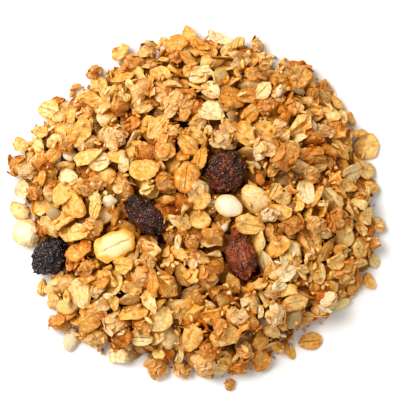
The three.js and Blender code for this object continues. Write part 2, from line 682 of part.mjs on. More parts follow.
const group = new THREE.Group();
addPart(group, "heap", heapShape(), OAT);
for (const topping of TOPPINGS) {
  const geometry = TOPPING_SHAPES[topping.form](topping);
  addPart(group, topping.name, geometry, toppingMaterial(topping), toppingMatrix(topping));
}
for (const stray of STRAYS) {
  addPart(group, stray.name, strayShape(stray), OAT, strayMatrix(stray));
}

export default group;
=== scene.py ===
"""Dresses a loose heap of toasted muesli: oat flakes, clusters, raisins and nuts.

Lengths are millimetres while pieces are laid; a mesh is made in metres. The heap
is laid by a seeded rule, piece on piece, so each run gives the same heap.
"""

import logging
import math
from dataclasses import dataclass, field, replace
from enum import Enum
from typing import Callable, ClassVar, Iterator, Sequence

import bpy
import numpy as np
from mathutils import Euler, Matrix, Vector


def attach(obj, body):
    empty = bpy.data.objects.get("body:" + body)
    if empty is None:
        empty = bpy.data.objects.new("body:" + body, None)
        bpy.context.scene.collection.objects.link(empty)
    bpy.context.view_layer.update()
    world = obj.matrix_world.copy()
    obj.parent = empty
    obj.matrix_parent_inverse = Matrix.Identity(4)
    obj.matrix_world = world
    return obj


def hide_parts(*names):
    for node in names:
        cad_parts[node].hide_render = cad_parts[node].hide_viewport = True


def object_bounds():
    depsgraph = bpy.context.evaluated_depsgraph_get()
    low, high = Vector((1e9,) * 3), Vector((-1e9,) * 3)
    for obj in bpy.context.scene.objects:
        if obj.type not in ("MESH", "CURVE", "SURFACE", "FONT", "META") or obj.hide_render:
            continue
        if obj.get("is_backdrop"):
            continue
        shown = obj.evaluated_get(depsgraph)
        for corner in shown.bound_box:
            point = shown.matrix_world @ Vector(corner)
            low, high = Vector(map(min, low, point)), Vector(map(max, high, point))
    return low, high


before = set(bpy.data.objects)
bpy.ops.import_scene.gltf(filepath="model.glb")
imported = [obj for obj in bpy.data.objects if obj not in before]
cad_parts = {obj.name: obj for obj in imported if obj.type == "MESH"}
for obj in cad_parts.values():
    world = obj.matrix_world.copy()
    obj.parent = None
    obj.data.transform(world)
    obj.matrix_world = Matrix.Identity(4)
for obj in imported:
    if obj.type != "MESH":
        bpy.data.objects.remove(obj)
CAD_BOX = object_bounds()

LOG = logging.getLogger("muesli")
MM = 0.001

Thing = bpy.types.Object
Numbers = Sequence[float]
Wanted = Callable[[Vector], bool]
Colour = tuple[int, int, int]
Ramp = tuple[tuple[float, Colour], ...]


# ------------------------------------------------------------------ the heap's form


class Kind(Enum):
    """What a laid piece is."""

    FLAKE = "flake"
    CLUSTER = "cluster"
    BIT = "bit"
    SEED = "seed"


class Tone(Enum):
    """How far a piece is toasted, from cream to brown, as a place on its colour ramp."""

    CREAM = 0.02
    PALE = 0.22
    GOLD = 0.42
    ORANGE = 0.62
    BROWN = 0.86


class Skin(Enum):
    """What a seed or kernel looks like, as a place on the seed colours."""

    PALE_YELLOW = 0.0
    GREY_WHITE = 0.25
    GOLDEN = 0.5
    GREY_GREEN = 0.75
    BROWN = 1.0


@dataclass(frozen=True)
class PieceSize:
    """Ranges that a kind of piece is drawn from; wide is a share of long."""

    long: tuple[float, float]
    wide: tuple[float, float]
    thick: tuple[float, float]


@dataclass(frozen=True)
class Mix:
    """Shares of flakes and clusters in a layer, and how many stand steeply."""

    flake: float
    cluster: float
    steep: float


@dataclass(frozen=True)
class Wave:
    """One wave of the heap's uneven outline."""

    count: int
    depth: float
    start: float


@dataclass(frozen=True)
class Topping:
    """A large piece that is a node of its own; rise is its height over the dome."""

    name: str
    at: tuple[float, float]
    size: tuple[float, float, float]
    turn: float
    lean: float
    rise: float


SIZES = {
    Kind.FLAKE: PieceSize((6.0, 10.0), (0.6, 0.82), (0.8, 1.2)),
    Kind.CLUSTER: PieceSize((5.4, 9.6), (0.66, 0.94), (3.0, 4.8)),
    Kind.BIT: PieceSize((3.4, 6.0), (0.4, 0.8), (0.8, 1.4)),
    Kind.SEED: PieceSize((4.0, 8.0), (0.5, 0.8), (1.8, 2.6)),
}

TOPPINGS = (
    Topping("raisin_round", (8.4, 9.3), (13.4, 12.4, 8.2), 20, 4, 2.6),
    Topping("raisin_long", (-14.9, -3.6), (15.4, 9.2, 7.6), -38, -5, 2.4),
    Topping("raisin_rim", (-43.4, -15.0), (14.4, 10.8, 7.8), 34, 6, 2.2),
    Topping("raisin_red", (12.6, -14.7), (15.8, 9.2, 7.4), -72, 3, 2.0),
    Topping("nut_half", (-24.0, -12.3), (12.8, 8.4, 4.4), 25, -6, 2.2),
    Topping("almond_slice", (9.3, -0.9), (8.6, 6.6, 3.2), -20, 5, 1.4),
    Topping("puffed_grain", (-51.2, -7.8), (8.6, 8.2, 5.6), 0, 0, 1.2),
)

# Well-marked pieces of the top layer, in the order that they were laid: middle seen
# from above, length, width, and degrees from +X.
MARKS = {
    (Kind.CLUSTER, Tone.ORANGE): (
        (-31, 40.8, 5.6, 4.4, 20), (-18.8, 42.8, 7.4, 5.6, 0), (-6.3, 43.6, 7.4, 5.6, 10),
        (16.8, 38.4, 8.4, 5.4, -15), (7, 28.2, 7.6, 4.6, -10), (-0.6, 27.4, 7.2, 5.6, 20),
        (31, 41.2, 9, 4.6, -12), (38.5, 36, 5.2, 4, -60), (28.5, 29, 8, 7, 50), (34.5, 33, 4.6, 3.8, 0),
        (19.8, 28.2, 8.4, 5.6, 10), (-53.3, 12.3, 7.6, 6.4, 75), (-47.9, 4, 5.8, 5, 60),
        (-9.3, 16.3, 9, 7.6, 80), (-9.5, 6, 9, 6, -20), (33.6, 13.8, 10, 7.2, 5), (48, 3, 6, 4.4, 30),
        (40.1, -4.5, 8, 6.4, 80), (27.5, -6, 8.8, 6.2, 10), (51.8, -11, 4.4, 3.6, 80),
        (-30.6, -7.2, 8.4, 7, 40), (-13.5, -16.5, 6.6, 6, 70), (2.3, -21.5, 6.8, 6.4, 40),
        (42, -19.5, 6.2, 5, 30), (22.8, -29.8, 8.8, 5.2, 30), (38, -31.3, 4.6, 2.8, -40),
        (-41, -34.2, 6.8, 4.6, -10), (-15, -34.6, 8.4, 6, 20), (3.9, -41, 9.4, 8.4, 60),
        (12.2, -47, 7.6, 5, 10), (-32.4, -18.5, 8, 5, 35),
    ),
    (Kind.CLUSTER, Tone.GOLD): (
        (-14.5, 46.5, 7.8, 6.6, 20), (11.6, 44.6, 5, 3.4, 0), (-43.3, 3.6, 7.4, 5, -40),
        (-30.3, -38.8, 8.8, 8.2, 0), (-12.2, -48.2, 7.8, 7.2, 0), (-4.6, -47.8, 6.8, 5.2, -35),
        (-37.6, -22.8, 8.8, 6, -30),
    ),
    (Kind.CLUSTER, Tone.PALE): (
        (26, 39.2, 5.6, 3.4, -20), (18, 48.4, 5.4, 3.8, -60), (37.8, 22, 6.6, 4.4, -10),
        (-0.4, -16, 8, 6.8, 10), (-29.1, -25.3, 6.6, 5.2, 20), (-23.4, -34.6, 8.8, 7.8, 30),
    ),
    (Kind.FLAKE, Tone.BROWN): (
        (-42, 32, 4.6, 3.6, 20), (-44, 11.4, 5.4, 3.2, 40), (-8.4, -43.4, 5.2, 3.8, -60),
    ),
    (Kind.FLAKE, Tone.ORANGE): (
        (-21.4, -18.2, 7.2, 5.4, -10), (-35.6, -14.8, 7, 6, -60), (18.8, -45.9, 7.2, 6.6, 85),
        (-22, 38.2, 8.4, 3.2, 10), (-2.6, 51.4, 7.8, 5, -50), (0.9, 48, 6.8, 3.6, -25),
        (21.6, -19.6, 7.6, 4.6, 60), (31.4, -22, 7.8, 4.4, 35), (46.8, -22.9, 7.6, 5.2, 80),
        (2.2, -49.4, 6.4, 3.6, -25), (-33.2, 26, 6.6, 5.4, 20),
    ),
    (Kind.FLAKE, Tone.GOLD): (
        (-22.8, 46.4, 6.6, 5.2, 45), (51.2, 18.4, 8.4, 7.4, 60), (48, 21.7, 7.4, 3, 15),
        (0.7, 0.4, 7.4, 5.2, 10), (-4.3, -20.6, 8.6, 4.6, -60), (-10.4, 38.9, 6.8, 5, -15),
        (-36, -0.6, 9, 6.4, -50), (-38.9, 20.6, 8, 5.8, -15), (-53, 18.3, 7, 4.2, -50),
        (-19, -24, 6.2, 5.2, 0), (50, 10.8, 7.6, 6, -8), (43.2, 5.7, 9.4, 4.4, 0),
        (-3.4, -40.8, 7, 5.4, 90), (33.2, 37.2, 7, 5, 15), (-29, 36.3, 7.4, 4.8, -65),
        (-24.3, 33, 6.8, 5.4, 60), (-9.6, 48.4, 5.8, 3.4, -60), (12.3, 48.8, 5.8, 3.8, 75),
        (35.3, 28.4, 6.4, 4, -20), (41.8, 31.2, 5.6, 3.6, -50), (45.8, 27, 5.4, 3.4, -50),
        (-46.8, 22, 6, 4, -15), (-32.5, 23.8, 6.6, 5.2, 70), (-23, 14, 6.6, 4.6, -25),
        (-25.7, 7, 8, 5.8, -55), (22.4, 11.4, 8.4, 3.6, 75), (52, 5.8, 6, 3.8, -15),
        (22.5, 3.4, 5.8, 5, 60), (15.3, -6.3, 9.4, 6.2, -10), (10.2, -23.2, 7.2, 5, -45),
        (39, -24, 6.8, 5.4, -40), (51.4, -22.3, 5.4, 3.6, -60), (45.7, -16.8, 5.2, 3.4, -60),
        (23.6, -41.4, 6.6, 3.8, -30), (27.8, -43, 5.6, 3.4, -70), (-32.5, -31.6, 7.2, 4, -60),
        (-25.4, -21.9, 6.4, 4.6, -50),
    ),
    (Kind.FLAKE, Tone.PALE): (
        (-44.2, 29.4, 8.8, 6.2, -20), (-34.5, 32.2, 7.6, 3.8, 45), (-40.2, 27, 6.6, 3.2, 25),
        (17, 1.2, 10, 8, -35), (-5.3, -5.3, 8, 4.4, -28), (-15, 29.8, 8.4, 5.6, 30),
        (19.8, 33.4, 6.6, 5, 50), (20.4, 43.8, 5.4, 4.6, 40), (43.2, 26.4, 5.8, 3.4, 80),
        (42.5, 16.9, 8.4, 3.8, -50), (-47, 17.5, 8, 3.8, -55), (-53.4, -1.2, 7.2, 5.4, -35),
        (-43.8, -6.2, 8, 4.8, -55), (-1, 19.8, 8.6, 5.4, -10), (54, -5.4, 5.4, 4.8, 60),
        (34.3, -3, 6.4, 4.6, 80), (39.5, -12.1, 7.2, 5, 28), (47.7, -12.9, 7, 4, -75),
        (48.5, -7.2, 5.6, 2.8, -40), (-20.3, -27.8, 7.6, 4.8, 12), (-6.2, -30.8, 10.4, 6.6, 5),
        (8, -28.4, 6.8, 4.8, -60), (35.5, -19.5, 8.4, 4.8, -70), (32.4, -27.8, 8.4, 4.2, -5),
        (52.8, -16, 5.4, 3.6, -60), (-27.8, -29.2, 6, 5, 10), (-17, -42, 5.8, 3.4, -40),
        (6, -48, 6.8, 4.2, -25), (-42.8, -28.4, 6, 4.6, 60),
    ),
    (Kind.FLAKE, Tone.CREAM): (
        (1.2, 38.2, 7.8, 6, 15), (7.2, 50.2, 9, 5.2, -25), (7.7, 33, 7.8, 4.8, 112),
        (-26.7, 26.1, 7.4, 5.6, 25), (-19.2, 30.9, 9, 4, 75), (-28.2, 12.4, 7.2, 6.2, 10),
        (-51.6, 5.4, 6, 5.2, 90), (46.4, -1.8, 8, 3.6, -50), (-26, 20.8, 7.6, 5.6, 50),
        (-12, -38.8, 8.2, 4.2, 35), (-23.2, -44.2, 7.6, 6.6, 75), (27.6, -12.3, 7.4, 3, -45),
        (3.9, -29.6, 5.2, 3.4, -60),
    ),
    (Kind.BIT, Tone.ORANGE): (
        (-36.8, 36.3, 4.2, 1.8, 25),
    ),
    (Kind.SEED, Skin.PALE_YELLOW): (
        (42.3, -28.8, 7.8, 4.4, 18), (-29.6, 1.8, 5.6, 4.2, -60), (-17.6, 10.8, 6, 3.9, -50),
    ),
    (Kind.SEED, Skin.GREY_WHITE): (
        (-37.7, -39.5, 7.6, 4.4, 75), (24.3, 33.6, 4.2, 2.2, 75), (34.3, 23.2, 4.2, 2.4, 95),
        (11.9, 32, 3.8, 2.2, 110), (8, -7.1, 4, 2.2, 50), (-37.4, 14.5, 4.8, 4.4, 0),
        (-25.3, 0.6, 4.6, 4.2, 0),
    ),
    (Kind.SEED, Skin.GOLDEN): (
        (28.1, -19.6, 8, 5.2, 68), (-38.2, -29.9, 8.2, 4.8, 0), (10.8, 18.3, 5.4, 3.2, 65),
    ),
    (Kind.SEED, Skin.GREY_GREEN): (
        (28.6, -33.2, 7.4, 4.8, 60), (19.2, -34.6, 6.4, 4.4, -20), (-42, -2.5, 5.2, 4.6, 0),
        (30.2, 34.2, 5.2, 2.8, -20),
    ),
    (Kind.SEED, Skin.BROWN): (
        (28, -1.2, 3.6, 3, 30), (25, -38, 3.8, 3, 90),
    ),
}

STRAYS = {
    "stray_flake": (33.8, -40.1, 7.4, 5.4, 1.2, 8),
    "stray_seed": (-46.4, -24.0, 5.4, 3.2, 1.6, 82),
    "stray_crumb": (9.6, -53.1, 3.9, 3.3, 2.2, 80),
}


@dataclass
class Draw:
    """Draws numbers from 0 to 1 in an order that never changes."""

    state: int
    MULTIPLIER: ClassVar[int] = 1664525
    INCREMENT: ClassVar[int] = 1013904223
    MODULUS: ClassVar[int] = 2**32

    def one(self) -> float:
        """Return the next number."""
        self.state = (self.state * self.MULTIPLIER + self.INCREMENT) % self.MODULUS
        return self.state / self.MODULUS

    def between(self, span: tuple[float, float]) -> float:
        """Return a number inside a span."""
        return span[0] + (span[1] - span[0]) * self.one()


@dataclass
class Piece:
    """A piece where it lies: its middle, size, heading, slopes and resting height."""

    kind: Kind
    x: float
    y: float
    long: float
    wide: float
    thick: float
    turn: float
    shape: float = 0.5
    steep: float = 0.0
    slope_u: float = 0.0
    slope_v: float = 0.0
    base: float = 0.0
    tone: Tone | Skin | None = None
    shown: float = 1.0

    def axes(self) -> Matrix:
        """Return the turn from the piece's own axes to the heap's."""
        along = Vector((math.cos(self.turn), math.sin(self.turn), self.slope_u)).normalized()
        slant = Vector((-math.sin(self.turn), math.cos(self.turn), self.slope_v))
        up = along.cross(slant).normalized()
        across = up.cross(along)
        return Matrix((along, across, up)).transposed()


@dataclass(frozen=True)
class Dome:
    """The smooth form under the heap's rough top."""

    radius: float = 53.0
    height: float = 20.0
    flatness: float = 2.4
    shoulder: float = 0.8
    waves: tuple[Wave, ...] = (
        Wave(1, 0.6, -0.6),
        Wave(2, 1.8, -0.2),
        Wave(4, 0.8, 1.2),
        Wave(5, 0.8, -0.9),
        Wave(6, 1.3, 2.0),
    )

    def reach(self, angle: float) -> float:
        """Return how far the heap's outline is from its middle.

        Args:
            angle: direction from the middle, in radians from +X.

        Returns:
            The distance in millimetres.
        """
        return self.radius + sum(w.depth * math.cos(w.count * angle + w.start) for w in self.waves)

    def height_at(self, x: float, y: float) -> float:
        """Return the dome's height over a place, or 0 outside its outline."""
        share = math.hypot(x, y) / self.reach(math.atan2(y, x))
        if share >= 1:
            return 0.0
        return self.height * (1 - share**self.flatness) ** self.shoulder


def resting_spots() -> list[tuple[float, float]]:
    """Return where a piece may touch what is below it, in shares of its half sizes."""
    spots = [(0.0, 0.0)]
    for share, count in ((0.5, 6), (0.92, 8)):
        for i in range(count):
            angle = 2 * math.pi * i / count
            spots.append((share * math.cos(angle), share * math.sin(angle)))
    return spots


SPOTS = resting_spots()


class Surface:
    """The top of all that has been laid so far, as heights on a square grid."""

    CELL = 0.5
    REACH = 64
    BED_DEPTH = 6.0
    SUNK_CLUSTER = 0.35
    STEEPEST_REST = 0.75
    SHOWS_WITHIN = 0.4
    SMOOTHED = 5

    def __init__(self, dome: Dome) -> None:
        """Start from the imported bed, some way below the dome."""
        self.side = 2 * math.floor(self.REACH / self.CELL) + 1
        self.heights = [0.0] * (self.side * self.side)
        self.kept = [False] * (self.side * self.side)
        for row in range(self.side):
            for column in range(self.side):
                bed = dome.height_at(self.place(column), self.place(row)) - self.BED_DEPTH
                self.heights[row * self.side + column] = max(0.0, bed)

    def place(self, step: int) -> float:
        """Return where a grid line lies."""
        return step * self.CELL - self.REACH

    def step(self, place: float) -> int:
        """Return the grid line nearest to a place."""
        return math.floor((place + self.REACH) / self.CELL + 0.5)

    def cell(self, x: float, y: float) -> int:
        """Return the cell at a place."""
        return self.step(y) * self.side + self.step(x)

    def height(self, x: float, y: float) -> float:
        """Return the height at a place."""
        return self.heights[self.cell(x, y)]

    def under(self, piece: Piece) -> Iterator[tuple[int, float, float, float]]:
        """Walk over the cells under a piece.

        Args:
            piece: the piece as it lies.

        Returns:
            For each cell: its number, its place along and across the piece, and
            how near it is to the rim, from 0 to 1.
        """
        half_long = piece.long / 2 / math.hypot(1, piece.slope_u)
        half_wide = piece.wide / 2 / math.hypot(1, piece.slope_v)
        reach = math.ceil(half_long / self.CELL) + 1
        column, row = self.step(piece.x), self.step(piece.y)
        cos, sin = math.cos(piece.turn), math.sin(piece.turn)
        for r in range(row - reach, row + reach + 1):
            for c in range(column - reach, column + reach + 1):
                east = self.place(c) - piece.x
                north = self.place(r) - piece.y
                u = east * cos + north * sin
                v = north * cos - east * sin
                rim = (u / half_long) ** 2 + (v / half_wide) ** 2
                if rim <= 1:
                    yield r * self.side + c, u, v, rim

    def settle(self, piece: Piece) -> None:
        """Let a piece rest on the slope below it, on its third highest spot."""
        cos, sin = math.cos(piece.turn), math.sin(piece.turn)
        places = [(u * piece.long / 2, v * piece.wide / 2) for u, v in SPOTS]
        heights = [
            self.height(piece.x + u * cos - v * sin, piece.y + u * sin + v * cos)
            for u, v in places
        ]
        mean = sum(heights) / len(heights)
        slope_u = sum(h * u for h, (u, _) in zip(heights, places)) / sum(u * u for u, _ in places)
        slope_v = sum(h * v for h, (_, v) in zip(heights, places)) / sum(v * v for _, v in places)
        ease = min(1.0, self.STEEPEST_REST / max(1e-6, math.hypot(slope_u, slope_v)))
        piece.slope_u = slope_u * ease
        piece.slope_v = slope_v * ease
        rises = sorted(
            (h - mean - piece.slope_u * u - piece.slope_v * v for h, (u, v) in zip(heights, places)),
            reverse=True,
        )
        piece.base = mean + max(0.0, rises[2])

    def top(self, piece: Piece, u: float, v: float, rim: float) -> float:
        """Return the height of a piece's upper side at a place on it."""
        plane = piece.base + piece.slope_u * u + piece.slope_v * v
        if piece.kind in (Kind.CLUSTER, Kind.SEED):
            return plane + piece.thick * (0.5 - self.SUNK_CLUSTER + 0.5 * math.sqrt(1 - rim))
        return plane + piece.thick * math.hypot(1, piece.slope_u, piece.slope_v)

    def press(self, piece: Piece) -> None:
        """Raise the surface to a piece's upper side."""
        for cell, u, v, rim in self.under(piece):
            self.heights[cell] = max(self.heights[cell], self.top(piece, u, v, rim))

    def keep(self, piece: Piece) -> None:
        """Keep the place of a piece free of later ones."""
        for cell, _, _, _ in self.under(piece):
            self.kept[cell] = True

    def even(self) -> None:
        """Keep a smoothed copy of the finished surface, to tell how deep a place is."""
        grid = np.array(self.heights).reshape(self.side, self.side)
        width = 2 * self.SMOOTHED + 1
        for axis in (0, 1, 0, 1):
            sums = sum(np.roll(grid, shift, axis) for shift in range(-self.SMOOTHED, self.SMOOTHED + 1))
            grid = sums / width
        self.smooth = grid

    def depths(self, corners: np.ndarray) -> np.ndarray:
        """Return how far each of a mesh's corners lies below the smoothed surface."""
        steps = np.floor((corners[:, :2] + self.REACH) / self.CELL + 0.5).astype(int)
        steps = steps.clip(0, self.side - 1)
        return self.smooth[steps[:, 1], steps[:, 0]] - corners[:, 2]

    def shown(self, piece: Piece) -> float:
        """Return the share of a piece that nothing laid later covers."""
        cells = list(self.under(piece))
        if not cells:
            return 0.0
        open_cells = sum(
            self.top(piece, u, v, rim) > self.heights[cell] - self.SHOWS_WITHIN
            for cell, u, v, rim in cells
        )
        return open_cells / len(cells)


@dataclass
class Heap:
    """Lays the bed, then the toppings and marked pieces, then what fills between."""

    dome: Dome = field(default_factory=Dome)
    seed: int = 20425
    bed_pieces: int = 640
    top_pieces: int = 220
    bed_mix: Mix = Mix(0.66, 0.2, 0.1)
    top_mix: Mix = Mix(0.44, 0.14, 0.28)
    rim_inset: float = 4.5
    kept_room: float = 100
    topping_room: float = 2.8
    stray_room: float = 3.2
    clearance: float = 0.3
    sunk_steep: float = 0.1

    def lay(self) -> tuple[Surface, list[Piece]]:
        """Lay the whole heap.

        Returns:
            The finished surface and all pieces, in the order that they were laid.
        """
        draw = Draw(self.seed)
        surface = Surface(self.dome)
        footprints = [self.footprint(topping) for topping in TOPPINGS]
        for footprint in footprints:
            surface.keep(footprint)
        for x, y, long, wide, thick, turn in STRAYS.values():
            stray = Piece(Kind.FLAKE, x, y, long, wide, thick, math.radians(turn))
            surface.keep(self.margin(stray, self.stray_room))
        pieces = [self.drop(draw, surface, self.bed_mix, 8) for _ in range(self.bed_pieces)]
        for footprint in footprints:
            surface.press(footprint)
            surface.keep(self.margin(footprint, self.topping_room))
        for (kind, tone), rows in MARKS.items():
            for x, y, long, wide, degrees in rows:
                thick = draw.between(SIZES[kind].thick)
                piece = Piece(kind, x, y, long, wide, thick, math.radians(degrees), draw.one())
                piece.tone = tone
                self.rest(surface, piece)
                surface.keep(piece)
                pieces.append(piece)
        pieces += [self.drop(draw, surface, self.top_mix, 24) for _ in range(self.top_pieces)]
        for piece in pieces:
            piece.shown = surface.shown(piece)
        surface.even()
        return surface, pieces

    def middle(self, topping: Topping) -> float:
        """Return the height of a topping's middle."""
        high = topping.size[2]
        ground = high / 2 + self.clearance / 2
        return max(ground, self.dome.height_at(*topping.at) + topping.rise - high / 2)

    def footprint(self, topping: Topping) -> Piece:
        """Return the room that a topping takes, as a piece."""
        long, wide, thick = topping.size
        piece = Piece(Kind.CLUSTER, *topping.at, long, wide, thick, math.radians(topping.turn))
        piece.base = self.middle(topping) - thick * (0.5 - Surface.SUNK_CLUSTER)
        return piece

    def margin(self, piece: Piece, room: float) -> Piece:
        """Return a piece's footprint with room round it, in which no other has its middle."""
        return replace(piece, long=piece.long + 2 * room, wide=piece.wide + 2 * room)

    def drop(self, draw: Draw, surface: Surface, mix: Mix, tries: int) -> Piece:
        """Draw a piece and lay it where there is most room under the dome.

        Args:
            draw: the numbers to draw from.
            surface: what it is laid on.
            mix: shares of each kind.
            tries: how many spots are looked at.

        Returns:
            The piece as it lies.
        """
        pick = draw.one()
        kind = Kind.FLAKE if pick < mix.flake else Kind.BIT
        if mix.flake <= pick < mix.flake + mix.cluster:
            kind = Kind.CLUSTER
        size = SIZES[kind]
        long = draw.between(size.long)
        wide = long * draw.between(size.wide)
        thick = draw.between(size.thick)
        turn = 2 * math.pi * draw.one()
        stands = draw.one() < mix.steep and kind is not Kind.CLUSTER
        steep = draw.between((0.7, 2.0)) if stands else 0.0
        shape = draw.one()
        steep = steep if draw.one() < 0.5 else -steep
        x, y = self.roomiest(draw, surface, tries)
        piece = Piece(kind, x, y, long, wide, thick, turn, shape, steep)
        self.rest(surface, piece)
        return piece

    def roomiest(self, draw: Draw, surface: Surface, tries: int) -> tuple[float, float]:
        """Return, of a few spots drawn at random, the one with the most room."""
        best, found = -math.inf, (0.0, 0.0)
        for _ in range(tries):
            angle = 2 * math.pi * draw.one()
            reach = math.sqrt(draw.one()) * (self.dome.reach(angle) - self.rim_inset)
            x, y = reach * math.cos(angle), reach * math.sin(angle)
            cell = surface.cell(x, y)
            room = self.dome.height_at(x, y) - surface.heights[cell]
            room -= self.kept_room if surface.kept[cell] else 0
            if room > best:
                best, found = room, (x, y)
        return found

    def rest(self, surface: Surface, piece: Piece) -> None:
        """Settle a piece, stand it up if it is a steep one, and press it in."""
        surface.settle(piece)
        if piece.steep:
            piece.slope_v += piece.steep
            piece.base -= piece.wide * self.sunk_steep
        surface.press(piece)


# ---------------------------------------------------------------- modelling by hand


def anywhere(corner: Vector) -> bool:
    """Return that a corner is wanted, wherever it is."""
    return True


class Bench:
    """Models one shape at a time with Blender's own operators."""

    @staticmethod
    def leave() -> None:
        """Leave edit mode."""
        if bpy.context.object and bpy.context.object.mode != "OBJECT":
            bpy.ops.object.mode_set(mode="OBJECT")

    @classmethod
    def clear(cls) -> None:
        """Deselect everything, because an operator acts on all that is selected."""
        cls.leave()
        bpy.ops.object.select_all(action="DESELECT")
        bpy.context.scene.tool_settings.mesh_select_mode = (True, False, False)

    @classmethod
    def pick(cls, shape: Thing, wanted: Wanted = anywhere) -> int:
        """Select the wanted corners of a shape, go into edit mode and return how many."""
        cls.leave()
        for group in (shape.data.polygons, shape.data.edges):
            group.foreach_set("select", [False] * len(group))
        chosen = [wanted(corner.co) for corner in shape.data.vertices]
        shape.data.vertices.foreach_set("select", chosen)
        bpy.ops.object.mode_set(mode="EDIT")
        return sum(chosen)

    @classmethod
    def move(cls, shape: Thing, wanted: Wanted, by: Numbers) -> None:
        """Move the wanted corners of a shape."""
        if cls.pick(shape, wanted):
            bpy.ops.transform.translate(value=by)

    @classmethod
    def scale(cls, shape: Thing, wanted: Wanted, by: Numbers) -> None:
        """Scale the wanted corners of a shape about its middle."""
        if cls.pick(shape, wanted):
            bpy.ops.transform.resize(value=by, center_override=(0, 0, 0))

    @classmethod
    def roughen(cls, shape: Thing, by: float, seed: int) -> None:
        """Move every corner a little at random, the same way each run."""
        cls.pick(shape)
        bpy.ops.transform.vertex_random(offset=by, uniform=0.2, normal=0.3, seed=seed)
        cls.leave()

    @classmethod
    def halve(cls, shape: Thing, at: Numbers, facing: Numbers) -> None:
        """Cut off what lies on one side of a plane, and close the cut."""
        cls.pick(shape)
        bpy.ops.mesh.bisect(plane_co=at, plane_no=facing, use_fill=True, clear_outer=True)

    @staticmethod
    def put(shape: Thing, at: Numbers) -> None:
        """Put a shape at a place, where its patterns are read."""
        shape.location = at
        bpy.context.view_layer.update()

    @classmethod
    def finish(cls, shape: Thing) -> None:
        """Leave edit mode and apply every modifier of a shape."""
        cls.leave()
        for modifier in list(shape.modifiers):
            bpy.ops.object.modifier_apply(modifier=modifier.name)

    @staticmethod
    def displace(shape: Thing, pattern: str, grain: float, deep: float, way: str = "NORMAL") -> None:
        """Add a modifier that pushes a shape's skin in and out.

        Args:
            shape: the object that is modelled.
            pattern: one of Blender's procedural texture types.
            grain: size of the pattern.
            deep: depth of the pattern.
            way: which way the skin moves.
        """
        texture = bpy.data.textures.new(f"{shape.name}_{pattern.lower()}", pattern)
        texture.noise_scale = grain
        if pattern == "MUSGRAVE":
            texture.musgrave_type = "RIDGED_MULTIFRACTAL"
        if pattern == "VORONOI":
            texture.distance_metric = "DISTANCE"
        modifier = shape.modifiers.new("skin", "DISPLACE")
        modifier.texture = texture
        modifier.texture_coords = "GLOBAL"
        modifier.direction = way
        modifier.strength = deep
        modifier.mid_level = 0.5

    @staticmethod
    def bend(shape: Thing, axis: str, degrees: float) -> None:
        """Add a modifier that bends a shape round an axis."""
        modifier = shape.modifiers.new("bend", "SIMPLE_DEFORM")
        modifier.deform_method = "BEND"
        modifier.deform_axis = axis
        modifier.angle = math.radians(degrees)

    @staticmethod
    def even(shape: Thing) -> None:
        """Add a modifier that evens a shape out into finer faces."""
        smooth = shape.modifiers.new("even", "SUBSURF")
        smooth.levels = smooth.render_levels = 1

    @classmethod
    def ball(cls, name: str, segments: int, rings: int, size: Numbers = (1, 1, 1)) -> Thing:
        """Add a ball with its poles at its two ends, and squash it to its half sizes."""
        cls.clear()
        bpy.ops.mesh.primitive_uv_sphere_add(
            segments=segments, ring_count=rings, radius=1, location=(0, 0, 0), rotation=(0, math.pi / 2, 0)
        )
        bpy.ops.object.transform_apply(location=False, rotation=True, scale=False)
        return cls.squashed(name, size)

    @classmethod
    def knob(cls, name: str, detail: int, size: Numbers = (1, 1, 1)) -> Thing:
        """Add an evenly faceted ball and squash it to its half sizes."""
        cls.clear()
        bpy.ops.mesh.primitive_ico_sphere_add(subdivisions=detail, radius=1, location=(0, 0, 0))
        return cls.squashed(name, size)

    @classmethod
    def squashed(cls, name: str, size: Numbers) -> Thing:
        """Name the new primitive, squash it and return it, selected and active."""
        shape = bpy.context.object
        shape.name = name
        cls.scale(shape, anywhere, size)
        cls.leave()
        return shape


